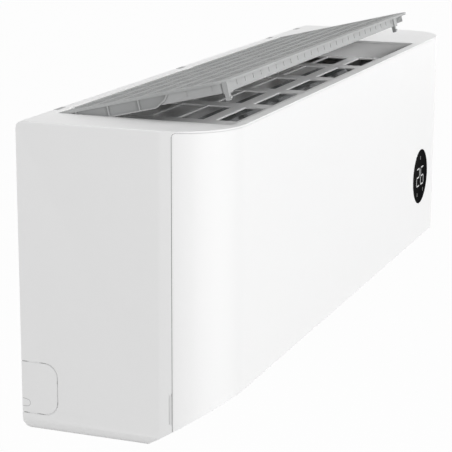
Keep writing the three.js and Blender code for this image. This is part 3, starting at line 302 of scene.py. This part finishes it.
def woven_net(name):
    """A fine plastic net: threads both ways, with painted shade in the darker gaps between them."""
    finish = Finish(name).set(Roughness=0.75)
    threads = add_maths(
        finish.tree, "MAXIMUM", finish.stripes("X", 0.0014), finish.stripes("Y", 0.0014)
    )
    finish.link(finish.ramp(threads, (0.10, 0.105, 0.105), (0.36, 0.37, 0.37), 0.35, 0.95), "Base Color")
    finish.bumps((threads, 0.0003))
    return finish.material


def beaded_foam(name):
    """Moulded foam, with the close cells of its beads."""
    finish = Finish(name).set(Roughness=0.85)
    cells = finish.tree.nodes.new("ShaderNodeTexVoronoi")
    cells.inputs["Scale"].default_value = 320
    finish.tree.links.new(finish.places, cells.inputs["Vector"])
    tone = finish.ramp(cells.outputs["Distance"], (0.84, 0.85, 0.84), (0.7, 0.71, 0.7), 0.2, 0.8)
    finish.link(tone, "Base Color")
    finish.bumps((cells.outputs["Distance"], 0.0003))
    return finish.material


def polished_black(name):
    """A polished dark cover with the faintest waviness."""
    finish = Finish(name).set(IOR=1.01)
    tone = finish.ramp(finish.noise(40), (0.003, 0.003, 0.0035), (0.006, 0.006, 0.0065))
    finish.link(tone, "Base Color")
    finish.link(finish.spread(finish.noise(12), 0.08, 0.14), "Roughness")
    finish.bumps((finish.noise(20, 1), 0.00001))
    return finish.material


def coated_board(name):
    """A circuit board under green lacquer, with faint tracks."""
    finish = Finish(name).set(Roughness=0.4)
    tracks = add_maths(finish.tree, "MULTIPLY", finish.stripes("X", 0.004), finish.stripes("Z", 0.007))
    finish.link(finish.ramp(tracks, (0.02, 0.11, 0.05), (0.05, 0.2, 0.09), 0.3, 0.5), "Base Color")
    finish.bumps((tracks, 0.00005))
    return finish.material


def shadowed(name, tone):
    """Painted shade: a dull grey for a narrow groove or slot in pale plastic."""
    colour = (tone, tone, tone)
    return moulded_plastic(name, colour, 0.8, grain=0.000006, mottle=0.05, gloss=0.1)


MATERIALS = {
    "white_casing": moulded_plastic("white_casing", (0.9, 0.9, 0.9), 0.42, mottle=0.003),
    "white_panel": moulded_plastic(
        "white_panel", (0.91, 0.91, 0.91), 0.34, grain=0.000002, mottle=0.002
    ),
    "grey_plastic": moulded_plastic(
        "grey_plastic", (0.38, 0.385, 0.385), 0.6, grain=0.000006, mottle=0.02, gloss=0.3
    ),
    # the grille's plastic: a slightly darker copy of the lid's grey plastic, as painted shade on the
    # lid's top
    "shaded_grille_plastic": moulded_plastic(
        "shaded_grille_plastic", (0.35, 0.355, 0.355), 0.65, grain=0.000006, mottle=0.03, gloss=0.2
    ),
    # the webs' plastic: a darker copy of the lid's grey plastic; its darkness is painted shade of the
    # flaps' recessed webs, its coarser grain and mottling are the webs' own
    "shaded_web_plastic": moulded_plastic(
        "shaded_web_plastic", (0.3, 0.305, 0.305), 0.75, grain=0.00002, mottle=0.08, gloss=0.2
    ),
    # line_shade, dash_shade, slot_shade, notch_shade and seam_shade are painted shade
    "line_shade": shadowed("line_shade", 0.6),
    "dash_shade": shadowed("dash_shade", 0.42),
    # line_glint is a painted highlight
    "line_glint": moulded_plastic(
        "line_glint", (0.99, 0.99, 0.99), 0.5, grain=0.000004, mottle=0.005
    ),
    "slot_shade": shadowed("slot_shade", 0.5),
    "notch_shade": moulded_plastic(
        "notch_shade", (0.81, 0.81, 0.81), 0.6, grain=0.000006, mottle=0.03, gloss=0.2
    ),
    "seam_shade": shadowed("seam_shade", 0.12),
    "dark_plastic": moulded_plastic(
        "dark_plastic", (0.045, 0.048, 0.05), 0.5, grain=0.000008, mottle=0.06
    ),
    "filter_mesh": woven_net("filter_mesh"),
    "display_black": polished_black("display_black"),
    "coil_fins": finned_aluminium("coil_fins"),
    "copper": drawn_metal("copper", (0.72, 0.38, 0.22), 0.32, stretch=(8, 1, 1)),
    "brass": drawn_metal("brass", (0.72, 0.55, 0.25), 0.3, stretch=(1, 6, 6)),
    "steel": zinc_steel("steel"),
    "pan_foam": beaded_foam("pan_foam"),
    "rubber": moulded_plastic("rubber", (0.02, 0.02, 0.021), 0.8, grain=0.00001, mottle=0.1),
    "circuit_green": coated_board("circuit_green"),
}


# ---------- pieces from the CAD nodes, with their edges eased ----------

EASED = {  # how far the edges of a piece are rounded
    "outer_casing": 0.5 * MM,
    "front_panel": 0.6 * MM,
    "intake_panel": 0.3 * MM,
    "intake_lattice": 0.5 * MM,
    "outlet_vane": 0.6 * MM,
    "cross_flow_fan": 0.15 * MM,
}
EASE = 0.3 * MM  # the same for all other pieces
SHARP = math.radians(36)  # edges sharper than this are rounded
FLAT = math.radians(0.5)  # faces that meet at less than this are joined
WELD = 0.00001
BEVEL_SEGMENTS = 2
ROUND_BARS = ("gas_pipe", "liquid_pipe", "return_bend")
RIM_ANGLE = math.radians(70)  # the edges round a bar's flat ends are sharper than this
AS_THEY_ARE = ("evaporator_front", "evaporator_top", "evaporator_rear", "filter_net")
MARKED = {"outer_casing": 0, "display_window": 1}  # the axis that the marked face looks along
SET_BACK = 0.03  # millimetres, from the place that the face has in the CAD model
HAIR = 0.02  # how far a mark stands proud of the face that was set back
INLAY = SET_BACK - HAIR


def modified(obj):
    """Applies the object's modifiers to its mesh."""
    view = bpy.context.evaluated_depsgraph_get()
    made = bpy.data.meshes.new_from_object(obj.evaluated_get(view))
    old = obj.data
    obj.modifiers.clear()
    obj.data = made
    bpy.data.meshes.remove(old)
    return obj


def cleaned(node):
    """A CAD node's shape with its corners welded and its flat parts made whole."""
    shape = bmesh.new()
    shape.from_mesh(nodes[node].data)
    bmesh.ops.remove_doubles(shape, verts=shape.verts, dist=WELD)
    bmesh.ops.dissolve_limit(shape, angle_limit=FLAT, verts=shape.verts, edges=shape.edges)
    for face in shape.faces:
        face.smooth = True
    return shape


def as_object(name, shape):
    """Turns a shape into an object of the scene."""
    mesh = bpy.data.meshes.new(name)
    shape.to_mesh(mesh)
    shape.free()
    obj = bpy.data.objects.new(name, mesh)
    bpy.context.scene.collection.objects.link(obj)
    return obj


def eased_copy(node, width):
    """A copy of a CAD node's shape, with its sharp edges rounded."""
    obj = as_object("eased_" + node, cleaned(node))
    bevel = obj.modifiers.new("ease", "BEVEL")
    bevel.width = width
    bevel.segments = BEVEL_SEGMENTS
    bevel.limit_method = "ANGLE"
    bevel.angle_limit = SHARP
    bpy.context.view_layer.update()
    modified(obj)
    obj.data.set_sharp_from_angle(angle=SHARP)
    weigh = obj.modifiers.new("normals", "WEIGHTED_NORMAL")
    weigh.keep_sharp = True
    return modified(obj)


def rounded_bar(node):
    """A copy of a bent bar's shape, with its flat sides drawn out into a round section."""
    shape = cleaned(node)
    crease = shape.edges.layers.float.new("crease_edge")
    for edge in shape.edges:
        if edge.calc_face_angle(0) > RIM_ANGLE:
            edge[crease] = 1.0
    obj = as_object("round_" + node, shape)
    finer = obj.modifiers.new("finer", "SUBSURF")
    finer.levels = 2
    bpy.context.view_layer.update()
    modified(obj)
    obj.data.set_sharp_from_angle(angle=SHARP)
    return obj


def place(obj, node):
    """Gives a piece its finish and body, and hides the CAD node that it stands for."""
    slot = slot_of[node]
    obj.data.materials.clear()
    obj.data.materials.append(MATERIALS[slot])
    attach(obj, body_of[node])
    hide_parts(node)
    return obj


def set_back(obj, axis):
    """Moves a piece's outermost face in a little, to leave room for the marks on it."""
    low = min(vertex.co[axis] for vertex in obj.data.vertices)
    for vertex in obj.data.vertices:
        if vertex.co[axis] < low + 0.01 * MM:
            vertex.co[axis] += SET_BACK * MM
    return obj


def dress_nodes():
    for name, node in nodes.items():
        if name.startswith(ROUND_BARS):
            place(rounded_bar(name), name)
        elif name.startswith(AS_THEY_ARE):
            node.data.materials.clear()
            node.data.materials.append(MATERIALS[slot_of[name]])
        else:
            copy = eased_copy(name, EASED.get(name, EASE))
            if name in MARKED:
                set_back(copy, MARKED[name])
            place(copy, name)


# ---------- pieces made here, in millimetres ----------


def add_box(shape, x0, x1, y0, y1, z0, z1):
    size = Matrix.Diagonal((x1 - x0, y1 - y0, z1 - z0, 1))
    middle = Matrix.Translation(((x0 + x1) / 2, (y0 + y1) / 2, (z0 + z1) / 2))
    bmesh.ops.create_cube(shape, size=1, matrix=middle @ size)


def add_prism(shape, near, far):
    """A solid between two outlines that have as many points each."""
    near = [shape.verts.new(point) for point in near]
    far = [shape.verts.new(point) for point in far]
    shape.faces.new(near)
    shape.faces.new(far)
    for k in range(len(near)):
        shape.faces.new((near[k - 1], near[k], far[k], far[k - 1]))


def new_piece(name, shape, slot, body, stands_for=(), material=None):
    """An object from a shape in millimetres, with its finish and body; the slot's material is its finish
    unless another is given.
    """
    bmesh.ops.recalc_face_normals(shape, faces=shape.faces)
    bmesh.ops.scale(shape, vec=(MM, MM, MM), verts=shape.verts)
    obj = as_object(name, shape)
    obj.data.materials.append(material or MATERIALS[slot])
    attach(obj, body)
    if stands_for:
        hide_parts(*stands_for)
    return obj


# ---------- the lid's grille, net, ribs and webs, in millimetres from its hinge axis ----------

LID_HINGE = Vector((0, -19.5, 151))
LID_OPEN = math.radians(13.5)
LID_LEFT, LID_RIGHT = -370.5, 285.6
LID_FRONT, LID_BACK = -178.5, 1.8  # from the hinge axis, lid shut
GRILLE_MARGIN, GRILLE_BACK_MARGIN = 13, 9
GRILLE_LOW, GRILLE_HIGH = 1.9, 2.95
GRILLE_PITCH, GRILLE_BAR = 3.0, 0.9
NET_SIDE_MARGIN, NET_FRONT_MARGIN, NET_BACK_MARGIN = 6, 7, 9
NET_LOW, NET_HIGH = -0.4, 0.0
NET_PITCH, NET_THREAD = 2.0, 0.35
CROSSING_STEP = 0.01  # how much higher the bars across lie than those along
EDGE_INSET = 2.5  # how far skirts and flaps are set in behind the lid's edge
SKIRT_LOW = -8.5
BURIED = 0.2  # how far a rib reaches into the wall behind it
RIB_HIGH = 0.6
SKIRT_RIBS = {"count": 26, "from": 32, "pitch": 22.5, "half": 0.4, "proud": 0.35, "low": -4.5}
FLAP_RIBS = {"places": (-136, -162), "half": 0.4, "proud": 0.6, "low": -5}
TAB_RIBS = {"count": 5, "from": -55, "pitch": 6, "half": 0.8, "low": -6.8}
TAB_NEAR, TAB_FAR = 3, 4.2  # depths of the tab's ribs behind the lid's front edge
LIP_LEFT, LIP_RIGHT = 17, 66  # where the skirt's lower lip stops short of the lid's ends
LIP_PROUD, LIP_THICK = 0.4, 0.8
WEB_BAYS = (-17.7, -52.2, -85.2)  # the ribs between which the end flaps' webs show
WEB_HALF, WEB_GAP = 0.1, 0.8
WEB_LOW, WEB_HIGH = -9.1, 0.4
WEB_NOSE = ((-116, WEB_HIGH), (-112.4, -4.6), (-103, WEB_LOW))  # the slanted front end


def raise_lid(shape):
    """Brings a shape drawn round the hinge axis of the shut lid to the lid's rest pose."""
    turn = Matrix.Rotation(-LID_OPEN, 3, "X")
    bmesh.ops.rotate(shape, cent=(0, 0, 0), matrix=turn, verts=shape.verts)
    bmesh.ops.translate(shape, vec=LID_HINGE, verts=shape.verts)
    return shape


def crossed_bars(x_range, y_range, z_range, pitch, width):
    """Bars both ways over an area, at a pitch."""
    shape = bmesh.new()
    (x0, x1), (y0, y1), (z0, z1) = x_range, y_range, z_range
    for k in range(int((x1 - x0) / pitch) + 1):
        x = x0 + k * pitch
        add_box(shape, x - width / 2, x + width / 2, y0, y1, z0, z1)
    for k in range(int((y1 - y0) / pitch) + 1):
        y = y0 + k * pitch
        low, high = z0 + CROSSING_STEP, z1 + CROSSING_STEP
        add_box(shape, x0, x1, y - width / 2, y + width / 2, low, high)
    return shape


def add_lid_grille():
    across = (LID_LEFT + GRILLE_MARGIN, LID_RIGHT - GRILLE_MARGIN)
    along = (LID_FRONT + GRILLE_MARGIN, LID_BACK - GRILLE_BACK_MARGIN)
    grille = crossed_bars(across, along, (GRILLE_LOW, GRILLE_HIGH), GRILLE_PITCH, GRILLE_BAR)
    # the grille takes the darker copy, painted shade on the lid's top
    look = MATERIALS["shaded_grille_plastic"]
    new_piece("lid_grille", raise_lid(grille), "grey_plastic", "lid", material=look)


def add_filter_threads():
    across = (LID_LEFT + NET_SIDE_MARGIN, LID_RIGHT - NET_SIDE_MARGIN)
    along = (LID_FRONT + NET_FRONT_MARGIN, LID_BACK - NET_BACK_MARGIN)
    net = crossed_bars(across, along, (NET_LOW, NET_HIGH), NET_PITCH, NET_THREAD)
    new_piece("filter_threads", raise_lid(net), "filter_mesh", "lid", ["filter_net"])


def add_skirt_ribs(shape):
    """Upright ribs along the front skirt."""
    face = LID_FRONT + EDGE_INSET
    half, near = SKIRT_RIBS["half"], face - SKIRT_RIBS["proud"]
    for k in range(SKIRT_RIBS["count"]):
        x = LID_LEFT + SKIRT_RIBS["from"] + k * SKIRT_RIBS["pitch"]
        add_box(shape, x - half, x + half, near, face + BURIED, SKIRT_RIBS["low"], RIB_HIGH)


def add_flap_ribs(shape):
    """Upright ribs on the front end of the left flap."""
    face = LID_LEFT + EDGE_INSET
    half, near = FLAP_RIBS["half"], face - FLAP_RIBS["proud"]
    for y in FLAP_RIBS["places"]:
        add_box(shape, near, face + BURIED, y - half, y + half, FLAP_RIBS["low"], RIB_HIGH)


def add_tab_ribs(shape):
    """Upright ribs on the tab at the lid's right front corner."""
    half = TAB_RIBS["half"]
    near, far = LID_FRONT + TAB_NEAR, LID_FRONT + TAB_FAR
    for k in range(TAB_RIBS["count"]):
        x = LID_RIGHT + TAB_RIBS["from"] + k * TAB_RIBS["pitch"]
        add_box(shape, x - half, x + half, near, far, TAB_RIBS["low"], RIB_HIGH)


def add_skirt_lip(shape):
    """The lip along the skirt's lower edge."""
    face = LID_FRONT + EDGE_INSET
    left, right = LID_LEFT + LIP_LEFT, LID_RIGHT - LIP_RIGHT
    low, high = SKIRT_LOW, SKIRT_LOW + LIP_THICK
    add_box(shape, left, right, face - LIP_PROUD, face + BURIED, low, high)


def add_lid_ribs():
    ribs = bmesh.new()
    add_skirt_ribs(ribs)
    add_flap_ribs(ribs)
    add_tab_ribs(ribs)
    add_skirt_lip(ribs)
    new_piece("lid_ribs", raise_lid(ribs), "grey_plastic", "lid")


def add_web_nose(shape, x):
    """The last web of a flap, whose front end is cut on a slant."""
    back = WEB_BAYS[-1] - WEB_GAP
    outline = [(back, WEB_HIGH), *WEB_NOSE, (back, WEB_LOW)]
    near = [(x - WEB_HALF, y, z) for y, z in outline]
    far = [(x + WEB_HALF, y, z) for y, z in outline]
    add_prism(shape, near, far)


def add_flap_webs():
    webs = bmesh.new()
    for x in (LID_LEFT + EDGE_INSET, LID_RIGHT - EDGE_INSET):
        for start, end in zip(WEB_BAYS, WEB_BAYS[1:]):
            near, far = end + WEB_GAP, start - WEB_GAP
            add_box(webs, x - WEB_HALF, x + WEB_HALF, near, far, WEB_LOW, WEB_HIGH)
        add_web_nose(webs, x)
    # the webs take the darker copy, painted shade in the flaps' recesses
    look = MATERIALS["shaded_web_plastic"]
    new_piece("flap_webs", raise_lid(webs), "grey_plastic", "lid", material=look)


# ---------- the casing's small marks ----------

CASING_LEFT = -425
CASING_TOP = 154
CORNER_FROM, CORNER_R = 145, 64  # the plan's round front corner, from the wall
RAIL_SLOTS = (-347, -37, 268.5, 379)
SLOT_HALF, SLOT_NEAR, SLOT_FAR, SLOT_DEEP, SLOT_PROUD = 9, -10.5, -5.5, 2.4, 0.05
RIBBON_THICK = 0.4
LINE_START = 0.8  # how far from the wall the side's lines begin
KNOCKOUT_DEEP, KNOCKOUT_TOP, KNOCKOUT_BOTTOM, KNOCKOUT_R = 38.8, -84.1, -136.8, 13.5
KNOCKOUT_WIDTH, KNOCKOUT_SINK = 0.8, 0.5
BRIDGES = ((0, 6), (20, 26), (47, 51), (69, 73), (92, 98), (109, 115))  # along the line, where painted shade darkens the line at its bridges
BRIDGE_WIDTH = 1.1
GLINTS = ((7, 19), (75, 91), (99, 108))  # where a painted highlight shows the line's lip catching the light
GLINT_WIDTH = 0.55
SHALLOW = 0.1  # how far bridges and glints lie below the face
LOOP_START, LOOP_END = (LINE_START, -122.2), (LINE_START, -130.4)  # a loop inside the line
LOOP_SHOULDER = (5, -123)
LOOP_CENTRE, LOOP_R, LOOP_WIDTH = (5.2, -126.6), 3.6, 0.7
SEAM_AT, SEAM_ARC, SEAM_FOOT = 159.15, 4.15, -137
SEAM_WIDTH, SEAM_SINK, SEAM_STEPS = 0.72, 0.3, 12
PANEL_TOP = 152.15
NOTCH_FROM, NOTCH_TO, NOTCH_HIGH, NOTCH_LOW = 156.6, 158.9, -100.6, -130.6
NOTCH_SINK, NOTCH_STEPS = 0.5, 4


def side_at(u):
    """Where the left side's face is at a distance from the wall."""
    if u <= CORNER_FROM:
        return CASING_LEFT
    return CASING_LEFT + CORNER_R - math.sqrt(CORNER_R ** 2 - (u - CORNER_FROM) ** 2)


def arc(centre, r, start, end, steps=10):
    """Points round an arc, from one angle in degrees to another."""
    angles = [math.radians(start + (end - start) * k / steps) for k in range(steps + 1)]
    return [(centre[0] + r * math.cos(a), centre[1] + r * math.sin(a)) for a in angles]


def add_ribbon(shape, line, width, sink):
    """A ribbon along (depth, height) points on the left side, sunk below its face."""
    rows = []
    for k, (u, z) in enumerate(line):
        before = Vector(line[max(k - 1, 0)])
        after = Vector(line[min(k + 1, len(line) - 1)])
        way = (after - before).normalized()
        side = Vector((-way.y, way.x)) * width / 2
        face = side_at(u) + sink
        back = face + RIBBON_THICK
        rows.append(
            [
                shape.verts.new((x, -(u + turn * side.x), z + turn * side.y))
                for x, turn in ((face, -1), (face, 1), (back, 1), (back, -1))
            ]
        )
    for low, high in zip(rows, rows[1:]):
        for k in range(4):
            shape.faces.new((low[k - 1], low[k], high[k], high[k - 1]))
    shape.faces.new(rows[0])
    shape.faces.new(rows[-1])


def knockout_line():
    """Points about a millimetre apart along the knock-out's line."""
    r, middle = KNOCKOUT_R, KNOCKOUT_DEEP - KNOCKOUT_R
    corners = [(LINE_START, KNOCKOUT_TOP), *arc((middle, KNOCKOUT_TOP - r), r, 90, 0, 20)]
    corners += [*arc((middle, KNOCKOUT_BOTTOM + r), r, 0, -90, 20), (LINE_START, KNOCKOUT_BOTTOM)]
    line = []
    for start, end in zip(corners, corners[1:]):
        start, end = Vector(start), Vector(end)
        steps = max(1, round((end - start).length))
        line += [tuple(start.lerp(end, k / steps)) for k in range(steps)]
    return line


def add_shade(name, shape, look):
    """A thin inlay of the housing, in a finish of its own, which paints the shade or highlight that the
    inlay stands for.
    """
    new_piece(name, shape, "white_casing", "housing", material=MATERIALS[look])


def add_knockout():
    """The knock-out's line, and the small loop at the wall inside it, as ribbons of painted shade."""
    lines = bmesh.new()
    add_ribbon(lines, knockout_line(), KNOCKOUT_WIDTH, KNOCKOUT_SINK)
    loop = [LOOP_START, LOOP_SHOULDER, *arc(LOOP_CENTRE, LOOP_R, 60, -80, 8), LOOP_END]
    add_ribbon(lines, loop, LOOP_WIDTH, INLAY)
    add_shade("side_lines", lines, "line_shade")


def add_stretches(name, stretches, width, look):
    """Short shallow ribbons along parts of the knock-out's line, for its painted shade and painted
    highlights.
    """
    shape = bmesh.new()
    for start, end in stretches:
        add_ribbon(shape, knockout_line()[start:end], width, SHALLOW)
    add_shade(name, shape, look)


def add_seam():
    # a dark ribbon in the seam, painted shade of the gap between panel and casing
    seam = bmesh.new()
    centre = (SEAM_AT + SEAM_ARC, PANEL_TOP - SEAM_ARC)
    rise = centre[1] - SEAM_FOOT
    upright = [(SEAM_AT, SEAM_FOOT + k * rise / SEAM_STEPS) for k in range(SEAM_STEPS)]
    add_ribbon(seam, upright + arc(centre, SEAM_ARC, 180, 90, 10), SEAM_WIDTH, SEAM_SINK)
    add_shade("seam_line", seam, "seam_shade")


def add_notch():
    # a grey ribbon in the pull notch, painted shade of its recess
    notch = bmesh.new()
    middle = (NOTCH_FROM + NOTCH_TO) / 2
    rise = NOTCH_HIGH - NOTCH_LOW
    line = [(middle, NOTCH_LOW + k * rise / NOTCH_STEPS) for k in range(NOTCH_STEPS + 1)]
    add_ribbon(notch, line, NOTCH_TO - NOTCH_FROM, NOTCH_SINK)
    add_shade("pull_notch", notch, "notch_shade")


def add_rail_slots():
    # grey boxes in the rail's slots, painted shade of their depth
    slots = bmesh.new()
    low, high = CASING_TOP - SLOT_DEEP, CASING_TOP + SLOT_PROUD
    for x in RAIL_SLOTS:
        add_box(slots, x - SLOT_HALF, x + SLOT_HALF, SLOT_NEAR, SLOT_FAR, low, high)
    look = MATERIALS["slot_shade"]
    new_piece("rail_slots", slots, "dark_plastic", "housing", material=look)


# ---------- the display's lit figures ----------

DISPLAY_CENTRE = (303, -24)
FACE_Y = -209
INLAY_BACK = 0.3  # how deep the figures and marks reach
DIGIT_WIDTH, DIGIT_HEIGHT = 14, 23
DIGITS = (("2", -17.5), ("6", 2.5))  # each figure and its left edge from the centre
STROKE = 1.7
STROKE_GAP = 0.6
MARKS = ((-1, 25), (-13, -23), (15, -20))  # from the centre
MARK_HALF_WIDTH, MARK_HALF_HEIGHT = 1, 2.5
FIGURE_GLOW, MARK_GLOW = 0.65, 0.2
SEGMENTS = {  # the ends of each bar of a figure, as shares of its width and height
    "top": ((0, 1), (1, 1)),
    "high_left": ((0, 0.5), (0, 1)),
    "high_right": ((1, 0.5), (1, 1)),
    "middle": ((0, 0.5), (1, 0.5)),
    "low_left": ((0, 0), (0, 0.5)),
    "low_right": ((1, 0), (1, 0.5)),
    "bottom": ((0, 0), (1, 0)),
}
FIGURES = {
    "2": ("top", "high_right", "middle", "low_left", "bottom"),
    "6": ("top", "high_left", "middle", "low_left", "low_right", "bottom"),
}


def add_inlay(shape, corners):
    """A thin plate with an (x, z) outline in the display's cover, a hair proud of its face."""
    near = [(x, FACE_Y + INLAY, z) for x, z in corners]
    far = [(x, FACE_Y + INLAY_BACK, z) for x, z in corners]
    add_prism(shape, near, far)


def add_bar(shape, start, end):
    """A bar with pointed ends, a little short of both its ends."""
    start, end = Vector(start), Vector(end)
    way = (end - start).normalized()
    side = Vector((-way.y, way.x)) * STROKE / 2
    a, b = start + way * STROKE_GAP, end - way * STROKE_GAP
    tip = way * STROKE / 2
    corners = [a, a + tip + side, b - tip + side, b, b - tip - side, a + tip - side]
    add_inlay(shape, [c.to_tuple() for c in corners])


def glow(name, strength):
    """Lit marks on a dark cover, slightly uneven in brightness."""
    finish = Finish(name).set(Roughness=0.5, Specular_IOR_Level=0.05, Emission_Strength=strength)
    finish.set(Base_Color=(0.02, 0.02, 0.02, 1))
    tone = finish.ramp(finish.noise(160), (0.85, 0.87, 0.88), (1, 1, 1))
    finish.link(tone, "Emission Color")
    return finish.material


def add_display_figures():
    lit = bmesh.new()
    foot = DISPLAY_CENTRE[1] - DIGIT_HEIGHT / 2
    for figure, offset in DIGITS:
        left = DISPLAY_CENTRE[0] + offset
        for name in FIGURES[figure]:
            ends = [(left + u * DIGIT_WIDTH, foot + v * DIGIT_HEIGHT) for u, v in SEGMENTS[name]]
            add_bar(lit, *ends)
    look = glow("figures", FIGURE_GLOW)
    new_piece("display_figures", lit, "display_black", "housing", material=look)


def add_display_marks():
    marks = bmesh.new()
    for across, up in MARKS:
        x, z = DISPLAY_CENTRE[0] + across, DISPLAY_CENTRE[1] + up
        corners = [(x + a * MARK_HALF_WIDTH, z + b * MARK_HALF_HEIGHT) for a, b in SQUARE]
        add_inlay(marks, corners)
    look = glow("marks", MARK_GLOW)
    new_piece("display_marks", marks, "display_black", "housing", material=look)


add_camera()
for name, (spot, size, power) in LAMPS.items():
    add_area_light(name, spot, size, power)
add_world()
add_floor()
dress_nodes()
add_lid_grille()
add_filter_threads()
add_lid_ribs()
add_flap_webs()
add_knockout()
add_stretches("side_dashes", BRIDGES, BRIDGE_WIDTH, "dash_shade")
add_stretches("side_glints", GLINTS, GLINT_WIDTH, "line_glint")
add_seam()
add_notch()
add_rail_slots()
add_display_figures()
add_display_marks()
bpy.context.scene.view_settings.view_transform = "Standard"
